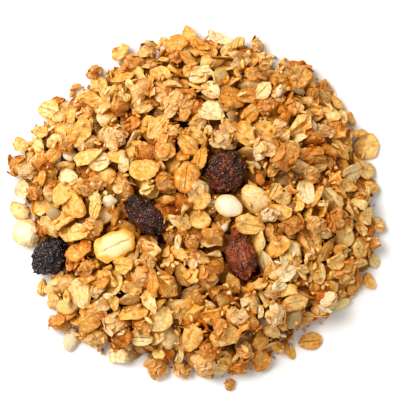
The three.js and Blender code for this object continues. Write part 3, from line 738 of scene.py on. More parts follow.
@dataclass
class Shape:
    """A modelled shape as plain arrays, half its length being 1."""

    corners: np.ndarray
    faces: np.ndarray
    own: np.ndarray
    shade: np.ndarray

    @classmethod
    def taken_from(cls, made: Thing) -> "Shape":
        """Keep a modelled object's mesh as arrays and remove the object.

        Args:
            made: the object, with its modifiers still on it.

        Returns:
            Its corners and triangles, and each corner's place on it from -1 to 1.
        """
        Bench.finish(made)
        Bench.pick(made)
        bpy.ops.mesh.remove_doubles(threshold=1e-4)
        bpy.ops.mesh.quads_convert_to_tris()
        bpy.ops.mesh.normals_make_consistent(inside=False)
        Bench.leave()
        mesh = made.data
        corners = np.empty(len(mesh.vertices) * 3)
        mesh.vertices.foreach_get("co", corners)
        corners = corners.reshape(-1, 3)
        faces = np.array([tuple(face.vertices) for face in mesh.polygons])
        bpy.data.objects.remove(made)
        return cls(corners, faces, corners / np.abs(corners).max(axis=0), np.zeros(len(corners)))

    def placed(self, size: Numbers, axes: Matrix, at: Numbers, shade: float = 0) -> "Shape":
        """Return a copy that is scaled, turned and moved, and shaded a little."""
        corners = (self.corners * np.array(size)) @ np.array(axes).T + np.array(at)
        return replace(self, corners=corners, shade=self.shade + shade)

    def fitted(self) -> "Shape":
        """Return a copy that fills its box from -1 to 1 each way."""
        low, high = self.corners.min(axis=0), self.corners.max(axis=0)
        return replace(self, corners=(self.corners - (low + high) / 2) / ((high - low) / 2))

    def filling(self, half_long: float, half_wide: float) -> "Shape":
        """Return a copy that fills its outline's box from above, as thick as before."""
        low, high = self.corners.min(axis=0)[:2], self.corners.max(axis=0)[:2]
        corners = self.corners.copy()
        corners[:, :2] -= (low + high) / 2
        corners[:, :2] *= np.array((half_long, half_wide)) / ((high - low) / 2)
        return replace(self, corners=corners)

    @classmethod
    def joined(cls, shapes: Sequence["Shape"]) -> "Shape":
        """Return several shapes as one, each corner keeping its own place."""
        starts = np.cumsum([0] + [len(shape.corners) for shape in shapes[:-1]])
        return cls(
            np.vstack([shape.corners for shape in shapes]),
            np.vstack([shape.faces + start for shape, start in zip(shapes, starts)]),
            np.vstack([shape.own for shape in shapes]),
            np.concatenate([shape.shade for shape in shapes]),
        )


class FlakeStyle(Enum):
    """The ways in which a rolled oat comes out of the rollers and the oven."""

    FLAT = "flat"
    DISHED = "dished"
    DOMED = "domed"
    CREASED = "creased"
    CURLED = "curled"
    SPLIT = "split"
    TORN = "torn"


# How far each style is bent round its own axes, in degrees, and how deep its crease is.
BENDS = {
    FlakeStyle.FLAT: (("X", 18),),
    FlakeStyle.DISHED: (("X", 62), ("Y", 38)),
    FlakeStyle.DOMED: (("X", -56), ("Y", -34)),
    FlakeStyle.CREASED: (("Y", 24),),
    FlakeStyle.CURLED: (("X", 125),),
    FlakeStyle.SPLIT: (("Y", -36),),
    FlakeStyle.TORN: (("X", 30),),
}
CREASES = {FlakeStyle.CREASED: 0.07, FlakeStyle.SPLIT: 0.1, FlakeStyle.DOMED: 0}
FAINT_CREASE = 0.02


@dataclass(frozen=True)
class FlakeMould:
    """Models rolled oat flakes, half a length being 1."""

    half_wide: float = 0.74
    half_thick: float = 0.13
    half_plate: float = 0.065
    segments: int = 14
    rings: int = 7
    plate: float = 1.5
    rim_from: float = 0.55
    rim_to: float = 0.97
    groove: float = 0.5
    wave: float = 0.55
    ripple: float = 0.1
    uneven: float = 0.04
    apart: tuple[float, float] = (3.7, 2.3)
    chips: tuple[tuple[float, float], ...] = ((0, 0.84), (2.2, 0.88), (4.0, 0.92))

    def model(self, style: FlakeStyle, number: int) -> Shape:
        """Model one flake.

        Args:
            style: how it is curled or cut.
            number: seed of its unevenness.

        Returns:
            The flake's shape.
        """
        size = (1, self.half_wide, self.half_plate)
        flake = Bench.ball(f"flake_{style.value}_{number}", self.segments, self.rings, size)
        Bench.scale(flake, self.near_rim, (1, 1, self.plate))
        self.crease(flake, style)
        for turn, share in self.chips:
            way = Vector((math.cos(1.9 * number + turn), math.sin(1.9 * number + turn), 0))
            Bench.scale(flake, lambda corner: corner.dot(way) > 0.6, (share, share, 1))
        if style is FlakeStyle.TORN:
            east, north = math.cos(1.1 * number), math.sin(1.1 * number)
            Bench.halve(flake, (0.3 * east, 0.2 * north, 0), (east, north, 0.1))
        Bench.roughen(flake, self.uneven, number)
        Bench.put(flake, (self.apart[0] * number, self.apart[1] * number, 0))
        Bench.displace(flake, "CLOUDS", 0.8, self.wave, "Z")
        Bench.displace(flake, "CLOUDS", 0.3, self.ripple)
        for axis, degrees in BENDS[style]:
            Bench.bend(flake, axis, degrees)
        Bench.finish(flake)
        Bench.put(flake, (0, 0, 0))
        return Shape.taken_from(flake).filling(1, self.half_wide)

    def near_rim(self, corner: Vector) -> bool:
        """Return whether a corner is in the outer part, which is as thick as the middle."""
        return self.rim_from < math.hypot(corner.x, corner.y / self.half_wide) < self.rim_to

    def crease(self, flake: Thing, style: FlakeStyle) -> None:
        """Press the groove of the grain into the upper side, deepest in a split flake."""
        deep = CREASES.get(style, FAINT_CREASE)
        Bench.scale(flake, lambda corner: 0.05 < abs(corner.y) < 0.4 and corner.z > 0, (1, self.groove, 1))
        Bench.move(flake, lambda corner: abs(corner.y) < 0.04 and corner.z > 0.02, (0, 0, -deep))
        if style is FlakeStyle.SPLIT:
            Bench.scale(flake, lambda corner: corner.x > 0.6 and abs(corner.y) < 0.1, (0.6, 1, 1))


@dataclass(frozen=True)
class ClusterMould:
    """Puts baked clusters together: a craggy lump with small flakes stuck on at angles."""

    lump: tuple[float, float, float] = (0.7, 0.56, 0.34)
    reach: tuple[float, float, float] = (0.8, 0.66, 0.42)
    crags: tuple[float, float] = (0.36, 0.3)
    grit: tuple[float, float] = (0.14, 0.2)
    stuck_on: int = 10
    stuck_long: tuple[float, float] = (0.34, 0.62)
    stuck_thick: float = 0.8
    stuck_at: float = 0.88
    slant: float = 0.9
    tones: float = 0.24
    leaves: FlakeMould = FlakeMould(segments=8, rings=4)

    def leaf_kinds(self) -> list[Shape]:
        """Model the small flakes that clusters are baked from."""
        styles = (FlakeStyle.CREASED, FlakeStyle.DISHED, FlakeStyle.FLAT, FlakeStyle.TORN)
        return [self.leaves.model(style, 31 + number) for number, style in enumerate(styles)]

    def model(self, leaves: Sequence[Shape], number: int) -> Shape:
        """Put one cluster together.

        Args:
            leaves: the small flakes to choose from.
            number: seed of its unevenness.

        Returns:
            The cluster's shape.
        """
        draw = Draw(977 + 31 * number)
        lump = Bench.knob(f"cluster_{number}", 3, self.lump)
        Bench.put(lump, (5.1 * number, 1.7, 0))
        Bench.displace(lump, "VORONOI", *self.crags)
        Bench.displace(lump, "CLOUDS", *self.grit)
        parts = [Shape.taken_from(lump)]
        parts[0].own[:, :2] *= 0.5
        parts += [self.stuck_leaf(draw, leaves, i) for i in range(self.stuck_on)]
        return Shape.joined(parts).filling(*self.reach[:2])

    def stuck_leaf(self, draw: Draw, leaves: Sequence[Shape], number: int) -> Shape:
        """Set one small flake on the lump's skin.

        Args:
            draw: the numbers to draw from.
            leaves: the small flakes to choose from.
            number: which of the cluster's flakes it is.

        Returns:
            The flake's shape, placed.
        """
        leaf = leaves[int(draw.one() * len(leaves))]
        half = draw.between(self.stuck_long)
        around = 2.4 * number + 0.6 * draw.one()
        above = math.asin(min(1.0, 0.02 + (number + draw.one()) / self.stuck_on))
        flat = math.cos(above)
        way = Vector((math.cos(around) * flat, math.sin(around) * flat, math.sin(above)))
        place = [self.stuck_at * reach * part for reach, part in zip(self.reach, way)]
        normal = Vector([part / reach for reach, part in zip(self.reach, way)]).normalized()
        slant = Vector((draw.one() - 0.5, draw.one() - 0.5, draw.one() - 0.5))
        turn = (normal + self.slant * slant).normalized().to_track_quat("Z", "X").to_matrix()
        turn = turn @ Matrix.Rotation(2 * math.pi * draw.one(), 3, "Z")
        size = (half, half, half * self.stuck_thick)
        return leaf.placed(size, turn, place, self.tones * (draw.one() - 0.5))


@dataclass(frozen=True)
class SeedMould:
    """Models plump seeds and kernels, pointed at one end."""

    half_wide: float = 0.6
    half_thick: float = 0.36
    point: float = 0.8
    taper: tuple[tuple[float, float], ...] = ((0.1, 0.96), (0.4, 0.9), (0.65, 0.8))

    def model(self, number: int) -> Shape:
        """Model one seed, more pointed the higher its number."""
        seed = Bench.ball(f"seed_{number}", 16, 12, (1, self.half_wide, self.half_thick))
        narrow = self.point * (number % 3) / 2
        for reach, share in self.taper:
            across = 1 - (1 - share) * (1 + narrow)
            Bench.scale(seed, lambda corner: corner.x > reach, (1, across, 0.5 + across / 2))
        Bench.roughen(seed, 0.02, number)
        Bench.displace(seed, "CLOUDS", 0.5, 0.12)
        return Shape.taken_from(seed)


@dataclass(frozen=True)
class CrumbMould:
    """Models crumbs: small broken lumps with few faces."""

    half_wide: float = 0.7
    half_thick: float = 0.5
    uneven: float = 0.22

    def model(self, number: int) -> Shape:
        """Model one crumb, rounder the higher its number."""
        size = (1, self.half_wide + 0.06 * number, self.half_thick + 0.05 * number)
        crumb = Bench.knob(f"crumb_{number}", 1 if number % 2 else 2, size)
        Bench.roughen(crumb, self.uneven, number)
        return Shape.taken_from(crumb)


# ------------------------------------------------------------------- joined pieces


@dataclass
class Pile:
    """Gathers copies of shapes into one mesh with its own attributes."""

    shapes: list[Shape] = field(default_factory=list)
    looks: list[np.ndarray] = field(default_factory=list)

    def add(self, shape: Shape, size: Numbers, axes: Matrix, at: Numbers, look: Numbers) -> None:
        """Add one copy of a shape, lifted where it would reach into the floor.

        Args:
            shape: what is copied.
            size: scale along, across and up, in millimetres.
            axes: how it is turned.
            at: where its middle is, in millimetres.
            look: three numbers that its finish reads, such as how toasted it is.
        """
        placed = shape.placed(size, axes, at)
        placed.corners[:, 2] -= min(0.0, placed.corners[:, 2].min())
        self.shapes.append(placed)
        looks = np.tile(np.array(look, dtype=float), (len(shape.corners), 1))
        looks[:, 0] += shape.shade
        self.looks.append(looks)

    def build(
        self, name: str, finish: bpy.types.Material, surface: Surface | None = None, crisp: float = 38
    ) -> Thing:
        """Make the joined mesh.

        Args:
            name: the piece's name.
            finish: its material.
            surface: what it lies in, where its finish asks how deep, to paint shade where a place lies
                deep.
            crisp: degrees between faces past which an edge is left sharp.

        Returns:
            The new object, at the origin.
        """
        whole = Shape.joined(self.shapes)
        faces = whole.faces
        mesh = bpy.data.meshes.new(name)
        mesh.vertices.add(len(whole.corners))
        mesh.vertices.foreach_set("co", (whole.corners * MM).ravel())
        mesh.loops.add(len(faces) * 3)
        mesh.loops.foreach_set("vertex_index", faces.ravel())
        mesh.polygons.add(len(faces))
        mesh.polygons.foreach_set("loop_start", np.arange(0, len(faces) * 3, 3))
        mesh.polygons.foreach_set("use_smooth", np.ones(len(faces), dtype=bool))
        mesh.update(calc_edges=True)
        for label, values in (("own_place", whole.own), ("look", np.vstack(self.looks))):
            attribute = mesh.attributes.new(label, "FLOAT_VECTOR", "POINT")
            attribute.data.foreach_set("vector", values.ravel())
        # depth: how far each corner lies below the smoothed top, which the finishes turn into painted
        # shade
        depth = mesh.attributes.new("depth", "FLOAT", "POINT")
        if surface:
            depth.data.foreach_set("value", surface.depths(whole.corners))
        mesh.validate()
        mesh.materials.append(finish)
        piece = bpy.data.objects.new(name, mesh)
        bpy.context.collection.objects.link(piece)
        Bench.clear()
        piece.select_set(True)
        bpy.context.view_layer.objects.active = piece
        bpy.ops.object.shade_smooth_by_angle(angle=math.radians(crisp))
        LOG.info("%s: %d triangles", name, len(faces))
        return piece


def dress(piece: Thing, slot: str, *nodes: str) -> Thing:
    """Say that a piece belongs to the body and stands for nodes, which are hidden."""
    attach(piece, "root")
    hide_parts(*nodes)
    return piece


# -------------------------------------------------------------------------- finishes


def linear(*colour: int) -> tuple[float, float, float, float]:
    """Return a colour, given as it shows on a screen from 0 to 255, as light."""
    parts = [part / 255 for part in colour]
    return (*(p / 12.92 if p <= 0.04045 else ((p + 0.055) / 1.055) ** 2.4 for p in parts), 1.0)


class Signal:
    """What a material's nodes work out at each place; a sum with it adds a node."""

    def __init__(self, graph: "Graph", socket: bpy.types.NodeSocket) -> None:
        """Keep the graph and the socket that the value comes from."""
        self.graph, self.socket = graph, socket

    def __add__(self, other: object) -> "Signal":
        """Return the sum."""
        return self.graph.math("ADD", self, other)

    def __sub__(self, other: object) -> "Signal":
        """Return the difference."""
        return self.graph.math("SUBTRACT", self, other)

    def __mul__(self, other: object) -> "Signal":
        """Return the product."""
        return self.graph.math("MULTIPLY", self, other)

    def __abs__(self) -> "Signal":
        """Return the size without its sign."""
        return self.graph.math("ABSOLUTE", self)

    def spread(self, low: float, high: float, to_low: float = 0, to_high: float = 1) -> "Signal":
        """Return a number eased from one span to another, held at its ends."""
        spans = {"Value": self, "From Min": low, "From Max": high, "To Min": to_low, "To Max": to_high}
        return self.graph.node("MapRange", spans, interpolation_type="SMOOTHSTEP")


class Graph:
    """Builds one material's nodes."""

    # How far neighbours reach, in millimetres, when painted shade is laid in the gaps.
    NEARBY = 4.6

    def __init__(
        self, name: str, shine: float, glow: float = 0, tint: Numbers = (1, 1, 1), deep: float = 1
    ) -> None:
        """Start a material.

        Args:
            name: its name.
            shine: how much its skin mirrors.
            glow: how much light goes through it.
            tint: how far red, green and blue light go.
            deep: how far light goes, in millimetres.
        """
        self.material = bpy.data.materials.new(name)
        self.material.use_nodes = True
        self.tree = self.material.node_tree
        self.shader = self.tree.nodes["Principled BSDF"]
        self.shader.inputs["Specular IOR Level"].default_value = shine
        if glow:
            self.shader.inputs["Subsurface Weight"].default_value = glow
            self.shader.inputs["Subsurface Radius"].default_value = tint
            self.shader.inputs["Subsurface Scale"].default_value = deep * MM
        self.place = self.vector("SCALE", self.node("TexCoord", out="Object"), scale=1 / MM)

    def feed(self, socket: bpy.types.NodeSocket, value: object) -> None:
        """Link a socket to a signal, or set its value where there is one."""
        if isinstance(value, Signal):
            self.tree.links.new(value.socket, socket)
        elif value is not None:
            socket.default_value = value

    def node(
        self, kind: str, inputs: dict | None = None, out: int | str = 0, **settings: object
    ) -> Signal:
        """Add a node.

        Args:
            kind: its type.
            inputs: what its sockets take, by name or number.
            out: which of its outputs is wanted.
            settings: its other settings.

        Returns:
            What it gives.
        """
        node = self.tree.nodes.new(f"ShaderNode{kind}")
        for name, value in settings.items():
            setattr(node, name, value)
        for socket, value in (inputs or {}).items():
            if value is not None:
                self.feed(node.inputs[socket], value)
        return Signal(self, node.outputs[out])

    def attribute(self, name: str) -> tuple[Signal, ...]:
        """Return a piece's own attribute as a vector and its three parts."""
        whole = self.node("Attribute", out="Vector", attribute_name=name)
        parts = self.node("SeparateXYZ", {0: whole}).socket.node.outputs
        return (whole, *(Signal(self, part) for part in parts))

    def math(self, operation: str, a: object, b: object = None) -> Signal:
        """Return a sum, product or other sum of numbers."""
        return self.node("Math", {0: a, 1: b}, operation=operation)

    def vector(self, operation: str, a: object, b: object = None, scale: float | None = None) -> Signal:
        """Return a vector sum, product, scaling or length."""
        out = 1 if operation == "LENGTH" else 0
        return self.node("VectorMath", {0: a, 1: b, "Scale": scale}, out, operation=operation)

    def noise(self, where: Signal, scale: float, detail: float = 3, rough: float = 0.6) -> Signal:
        """Return cloudy noise; scale is in waves for each millimetre."""
        inputs = {"Vector": where, "Scale": scale, "Detail": detail, "Roughness": rough}
        return self.node("TexNoise", inputs, "Fac")

    def shifted(self, where: Signal, look: Signal, by: float) -> Signal:
        """Return a place moved by each piece's own look, so that no two are alike."""
        return self.vector("ADD", where, self.vector("SCALE", look, scale=by))

    def outwards(self, own: Signal) -> Signal:
        """Return how far a place is from its piece's upright axis."""
        return self.vector("LENGTH", self.vector("MULTIPLY", own, (1, 1, 0)))

    def streaks(self, own: Signal, look: Signal, by: float, stretch: Numbers) -> Signal:
        """Return noise drawn out along a piece."""
        where = self.node("Mapping", {0: self.shifted(own, look, by), "Scale": stretch})
        return self.noise(where, 1.0)

    def ramp(self, value: Signal, stops: Ramp) -> Signal:
        """Return a colour from a row of colours, as they show on a screen."""
        colour = self.node("ValToRGB", {0: value})
        elements = colour.socket.node.color_ramp.elements
        while len(elements) < len(stops):
            elements.new(0.5)
        for element, (place, paint) in zip(elements, stops):
            element.position = place
            element.color = linear(*paint)
        return colour

    def mix(self, share: Signal, a: object, b: object, blend: str = "MIX") -> Signal:
        """Return a blend of two colours."""
        a, b = (linear(*paint) if isinstance(paint, tuple) else paint for paint in (a, b))
        return self.node("Mix", {0: share, 6: a, 7: b}, 2, data_type="RGBA", blend_type=blend)

    def coated(self, colour: Signal, *coats: tuple[Signal, Colour]) -> Signal:
        """Return a colour under further colours, each with its share."""
        for share, paint in coats:
            colour = self.mix(share, colour, paint)
        return colour

    def depth(self) -> Signal:
        """Return how deep a place lies in the heap, in millimetres."""
        return self.node("Attribute", out="Fac", attribute_name="depth")

    def with_painted_gap_shade(self, colour: Signal, most: float) -> Signal:
        """Return a colour with painted shade: darker and warmer where neighbours stand close, and darker
        still where a place lies deep in the heap.

        Args:
            colour: the surface's own colour.
            most: how dark the painted shade gets in the narrowest gaps, up to 1.

        Returns:
            The colour with its painted shade.
        """
        open_sky = self.node("AmbientOcclusion", {"Distance": self.NEARBY * MM}, "AO", samples=6)
        # painted shade: a warm dark multiplied in where ambient occlusion finds neighbours close
        colour = self.mix(open_sky.spread(0.15, 0.86, most, 0), colour, (255, 213, 34), "MULTIPLY")
        # painted shade: browner and darker the deeper a place lies below the heap's smoothed top
        return self.coated(colour, (self.depth().spread(0.2, 3.0, 0, 0.75), (104, 36, 0)))

    def bump(self, height: Signal, depth: float, strength: float = 1) -> Signal:
        """Return a normal raised by a height; depth is in millimetres."""
        return self.node("Bump", {"Distance": depth * MM, "Strength": strength, "Height": height})

    def close(self, colour: Signal, roughness: object, normal: Signal | None = None) -> bpy.types.Material:
        """Join colour, roughness and normal to the shader and return the material."""
        for name, value in (("Base Color", colour), ("Roughness", roughness), ("Normal", normal)):
            self.feed(self.shader.inputs[name], value)
        return self.material


OAT_COLOURS = (
    (0.0, (244, 220, 170)),
    (0.22, (240, 203, 131)),
    (0.45, (235, 180, 88)),
    (0.66, (226, 155, 58)),
    (0.84, (202, 120, 34)),
    (1.0, (146, 72, 12)),
)

CLUSTER_COLOURS = (
    (0.0, (244, 220, 176)),
    (0.22, (240, 198, 138)),
    (0.45, (234, 174, 98)),
    (0.66, (223, 149, 64)),
    (0.84, (200, 118, 40)),
    (1.0, (148, 74, 16)),
)

SEED_COLOURS = (
    (0.0, (246, 218, 140)),
    (0.25, (222, 200, 160)),
    (0.5, (232, 182, 104)),
    (0.75, (176, 148, 98)),
    (1.0, (150, 96, 50)),
)


@dataclass(frozen=True)
class OatFinish:
    """Toasted oat: cream to brown by the piece, browner at the rim, dusted with sugar, with crease lines
    of brown grain darkened further by painted shade, and painted shade in gaps and deep in the heap.
    """

    name: str
    colours: Ramp = OAT_COLOURS
    rim: float = 0.3
    blotch: float = 0.95
    dust: float = 0.3
    relief: float = 0.4
    grain: float = 0.55
    streaks: float = 0.42
    glow: float = 0.17
    # shade: how dark the painted shade in narrow gaps gets, up to 1
    shade: float = 0.97
    varied: float = 31.0

    def make(self) -> bpy.types.Material:
        """Return the material."""
        graph = Graph(self.name, 0.05, self.glow, (1, 0.55, 0.15), 1.0)
        own, along, across, _ = graph.attribute("own_place")
        look, tone, crease, chance = graph.attribute("look")
        place = graph.shifted(graph.place, look, self.varied)
        blotch = graph.noise(place, self.grain, 4, 0.62) - 0.5
        rim = graph.outwards(own).spread(0.62, 1.0)
        toast = tone + blotch * self.blotch + rim * (chance * self.rim)
        fresh = toast.spread(0.55, 0.95, 1, 0.15)
        streak = graph.streaks(own, look, self.varied, (0.9, 4.6, 2.0))
        mottle = graph.noise(place, 0.95, 3, 0.62)
        # crease lines: the grain's brown furrow, darkened further as painted shade of the groove
        middle = abs(across + blotch * 0.16).spread(0.015, 0.075, 1, 0)
        middle = middle * abs(along).spread(0.62, 0.86, 1, 0) * crease
        beside = abs(abs(across) - 0.42 + blotch * 0.4).spread(0.01, 0.06, 0.6, 0)
        beside = beside * graph.math("POWER", crease, 4.0) * streak.spread(0.42, 0.58)
        line = graph.math("MAXIMUM", middle, beside)
        colour = graph.coated(
            graph.ramp(toast, self.colours),
            (streak.spread(0.54, 0.7, 0, self.streaks), (166, 96, 36)),
            (mottle.spread(0.5, 0.66, 0, 0.5) * fresh, (248, 226, 178)),
            (mottle.spread(0.36, 0.46, 0.55, 0), (206, 122, 38)),
            # crease lines: brown furrow and painted shade of the groove
            (line * 0.75, (128, 70, 20)),
            (graph.noise(place, 2.4, 2, 0.5).spread(0.66, 0.74) * 0.6, (188, 98, 22)),
            (graph.noise(place, 1.5, 5, 0.75).spread(0.56, 0.74) * self.dust * fresh, (255, 240, 214)),
        )
        fine = graph.noise(place, 2.2, 5, 0.7)
        height = fine * 0.35 + graph.noise(place, 0.7) + streak * -0.8 - line * 0.6
        normal = graph.bump(height, self.relief, 0.9)
        # painted shade in the gaps and deep in the heap is laid over the colour here
        return graph.close(graph.with_painted_gap_shade(colour, self.shade), fine.spread(0.3, 0.7, 0.45, 0.78), normal)


@dataclass(frozen=True)
class SeedFinish:
    """Seed skin: smooth, streaked along its length, with a browner point, and painted shade the deeper it
    lies in the heap.
    """

    name: str
    colours: Ramp

    def make(self) -> bpy.types.Material:
        """Return the material."""
        graph = Graph(self.name, 0.4, 0.12, (1, 0.7, 0.4), 0.8)
        own, along, _, _ = graph.attribute("own_place")
        look, skin, _, _ = graph.attribute("look")
        streak = graph.streaks(own, look, 17.0, (0.7, 4.0, 2.0))
        colour = graph.coated(
            graph.ramp(skin, self.colours),
            (streak.spread(0.5, 0.7, 0, 0.4), (150, 100, 54)),
            (along.spread(0.7, 1.0, 0, 0.6), (158, 98, 44)),
            # painted shade: darker the deeper the seed lies below the heap's smoothed top
            (graph.depth().spread(-0.4, 2.6, 0, 0.7), (84, 30, 4)),
        )
        height = graph.noise(graph.place, 1.4) + streak * 0.6
        return graph.close(colour, 0.46, graph.bump(height, 0.12))


@dataclass(frozen=True)
class CoreFinish:
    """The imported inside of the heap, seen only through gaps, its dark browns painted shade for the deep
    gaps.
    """

    name: str = "packed_oats_painted_shade"

    def make(self) -> bpy.types.Material:
        """Return the material."""
        graph = Graph(self.name, 0.2)
        lumps = graph.noise(graph.place, 0.55, 5, 0.7)
        # dark browns that paint the shade deep in the gaps
        colour = graph.ramp(lumps, ((0.25, (44, 16, 4)), (0.5, (82, 36, 10)), (0.8, (120, 62, 20))))
        return graph.close(colour, 0.85, graph.bump(lumps, 0.8))


@dataclass(frozen=True)
class RaisinFinish:
    """Raisin skin: dark and waxy, redder where light comes through, dusted in its folds, with painted
    shade along the bottoms of its wrinkles and bright specks that are partly sugar and partly painted
    glints.
    """

    name: str
    deep: Colour
    high: Colour
    bloom: Colour
    # colour of the bright specks, partly sugar and partly painted glint
    sugar_and_painted_glint: Colour = (252, 206, 158)
    glow: float = 0.1
    shine: float = 0.22

    def make(self) -> bpy.types.Material:
        """Return the material."""
        graph = Graph(self.name, self.shine, self.glow, (1, 0.3, 0.15), 1.5)
        place = graph.place
        wrinkle = graph.noise(place, 0.62, 3, 0.5)
        ridge = abs(wrinkle - 0.5)
        colour = graph.coated(
            graph.mix(graph.noise(place, 0.32, 3, 0.55).spread(0.35, 0.65), self.deep, self.high),
            # painted shade: the deep colour along the bottoms of the wrinkles
            (ridge.spread(0.0, 0.05, 0.7, 0), self.deep),
            (graph.noise(place, 2.8, 3, 0.7).spread(0.58, 0.66, 0, 0.3), self.bloom),
            # bright specks: partly sugar crystals, partly painted glints
            (graph.noise(place, 3.0, 1, 0.5).spread(0.7, 0.73, 0, 0.95), self.sugar_and_painted_glint),
        )
        height = ridge * 3.0 + graph.noise(place, 2.0, 1) * 0.05
        return graph.close(colour, wrinkle.spread(0.3, 0.7, 0.12, 0.3), graph.bump(height, 0.5))


@dataclass(frozen=True)
class NutFinish:
    """Nut flesh: smooth cream, yellow at its toasted rim, with faint blotches, and a brown line along its
    groove that is partly its own colour and partly painted shade.
    """

    name: str
    flesh: Colour = (250, 218, 142)
    rim: Colour = (240, 176, 66)
    spot: Colour = (214, 150, 70)
    spots: float = 0.25
    edge_from: float = 0.5
    groove: float = 0

    def make(self) -> bpy.types.Material:
        """Return the material."""
        graph = Graph(self.name, 0.45, 0.18, (1, 0.7, 0.35), 1.6)
        place = graph.place
        own, along, across, _ = graph.attribute("own_place")
        wobble = (graph.noise(place, 0.5) - 0.5) * 0.5
        edge = (graph.outwards(own) + wobble).spread(self.edge_from, 0.95)
        line = abs(across + wobble * 0.5).spread(0.02, 0.1, 1, 0) * self.groove
        colour = graph.coated(
            graph.mix(edge, self.flesh, self.rim),
            (graph.noise(place, 0.9, 4, 0.65).spread(0.56, 0.7, 0, self.spots), self.spot),
            # groove line: the nut's own brown, darkened further as painted shade of the groove
            (line * abs(along).spread(0.5, 0.8, 1, 0), (176, 110, 44)),
        )
        height = graph.noise(place, 0.8) + graph.noise(place, 3.0, 2) * 0.2
        return graph.close(colour, 0.42, graph.bump(height, 0.18))


Finish = OatFinish | RaisinFinish | NutFinish


# -------------------------------------------------------------------- sub-assemblies


@dataclass
class PackedCore:
    """The packed inside of the heap, which shows only through gaps, dark with painted shade."""

    foot: float = 0.3
    reach: float = 0.82
    below: float = 7.4
    segments: int = 72
    rings: int = 12
    innermost: float = 0.04
    least_rise: float = 0.5
    lump: float = 1.4
    grain: float = 5.0
    finish: CoreFinish = CoreFinish()

    def build(self, dome: Dome) -> Thing:
        """Build the core.

        Args:
            dome: the heap's form, which the core follows from below.

        Returns:
            The dressed piece.
        """
        radii = [share * dome.radius * self.reach for share in np.linspace(1, self.innermost, self.rings)]
        Bench.clear()
        bpy.ops.mesh.primitive_circle_add(
            vertices=self.segments,
            radius=radii[0] * MM,
            fill_type="TRIFAN",
            location=(0, 0, self.foot * MM),
        )
        core = bpy.context.object
        core.name = "packed_core"
        last_reach, last_height = radii[0], self.foot
        bpy.ops.object.mode_set(mode="EDIT")
        bpy.ops.mesh.select_all(action="SELECT")
        for radius in radii:
            height = max(self.foot + self.least_rise, self.height(dome, radius))
            rise = (height - last_height) * MM
            bpy.ops.mesh.extrude_region_move(TRANSFORM_OT_translate={"value": (0, 0, rise)})
            share = radius / last_reach
            bpy.ops.transform.resize(value=(share, share, 1), center_override=(0, 0, height * MM))
            last_reach, last_height = radius, height
        bpy.ops.mesh.select_all(action="SELECT")
        bpy.ops.mesh.quads_convert_to_tris()
        bpy.ops.mesh.subdivide(number_cuts=1)
        bpy.ops.mesh.normals_make_consistent(inside=False)
        Bench.leave()
        Bench.displace(core, "CLOUDS", self.grain * MM, self.lump * MM, "Z")
        Bench.finish(core)
        bpy.ops.object.transform_apply(location=True, rotation=True, scale=True)
        bpy.ops.object.shade_smooth()
        core.data.materials.append(self.finish.make())
        return dress(core, "toasted_oats", "heap")

    def height(self, dome: Dome, radius: float) -> float:
        """Return the height of the core's top at a distance from the middle."""
        share = radius / dome.radius
        return dome.height * (1 - share**dome.flatness) ** dome.shoulder - self.below


@dataclass(frozen=True)
class ToneDraw:
    """Picks how toasted a piece is, from the shares of the tones, cream first."""

    shares: tuple[float, ...]
    spread: float = 0.07

    def pick(self, draw: Draw, wanted: Tone | Skin | None) -> float:
        """Return a place on the oat colours, near the wanted tone where there is one."""
        chance, tone = draw.one(), wanted
        for share, choice in zip(self.shares, Tone):
            chance -= share
            if tone is None and chance <= 0:
                tone = choice
        tone = tone or Tone.BROWN
        return min(1.0, max(0.0, tone.value + self.spread * (2 * draw.one() - 1)))


@dataclass
class Loose:
    """Builds one kind of loose piece, as the heap's rule laid them, as one mesh."""

    name: str
    kind: Kind
    finish: OatFinish | SeedFinish
    seed: int
    extent: tuple[float, float, float] = (1, 1, 1)
    fatness: float = 1
    lifted: float = 0.5 - Surface.SUNK_CLUSTER
    least_shown: float = 0.02
    crisp: float = 38

    def shapes(self) -> list[Shape]:
        """Return the shapes to choose from."""
        raise NotImplementedError

    def chosen(self, draw: Draw, piece: Piece) -> tuple[Numbers, float, bool]:
        """Draw a piece's look, its lean in degrees, and whether it lies face down."""
        raise NotImplementedError

    def build(self, surface: Surface, pieces: Sequence[Piece]) -> Thing:
        """Build all pieces of the kind.

        Args:
            surface: tells how deep each lies.
            pieces: the laid pieces.

        Returns:
            The dressed piece.
        """
        shapes, draw, pile = self.shapes(), Draw(self.seed), Pile()
        for piece in pieces:
            shape = shapes[int(draw.one() * len(shapes))]
            look, lean, over = self.chosen(draw, piece)
            if piece.kind is not self.kind or piece.shown < self.least_shown:
                continue
            axes = piece.axes()
            at = Vector((piece.x, piece.y, piece.base)) + axes.col[2] * piece.thick * self.lifted
            axes = axes @ Matrix.Rotation(math.radians(lean), 3, "X")
            if over:
                axes = axes @ Matrix.Rotation(math.pi, 3, "X")
            sides = (piece.long, piece.wide, self.fatness * piece.thick)
            size = [side / 2 / reach for side, reach in zip(sides, self.extent)]
            pile.add(shape, size, axes, at, look)
        made = pile.build(self.name, self.finish.make(), surface, self.crisp)
        return dress(made, "toasted_oats", "heap")


WHOLE = (
    FlakeStyle.FLAT,
    FlakeStyle.DISHED,
    FlakeStyle.CREASED,
    FlakeStyle.DOMED,
    FlakeStyle.FLAT,
    FlakeStyle.CREASED,
    FlakeStyle.SPLIT,
    FlakeStyle.DISHED,
    FlakeStyle.TORN,
    FlakeStyle.CURLED,
    FlakeStyle.CREASED,
    FlakeStyle.DOMED,
)
BROKEN = (FlakeStyle.TORN,) * 6 + (FlakeStyle.CURLED, FlakeStyle.CREASED, FlakeStyle.SPLIT)


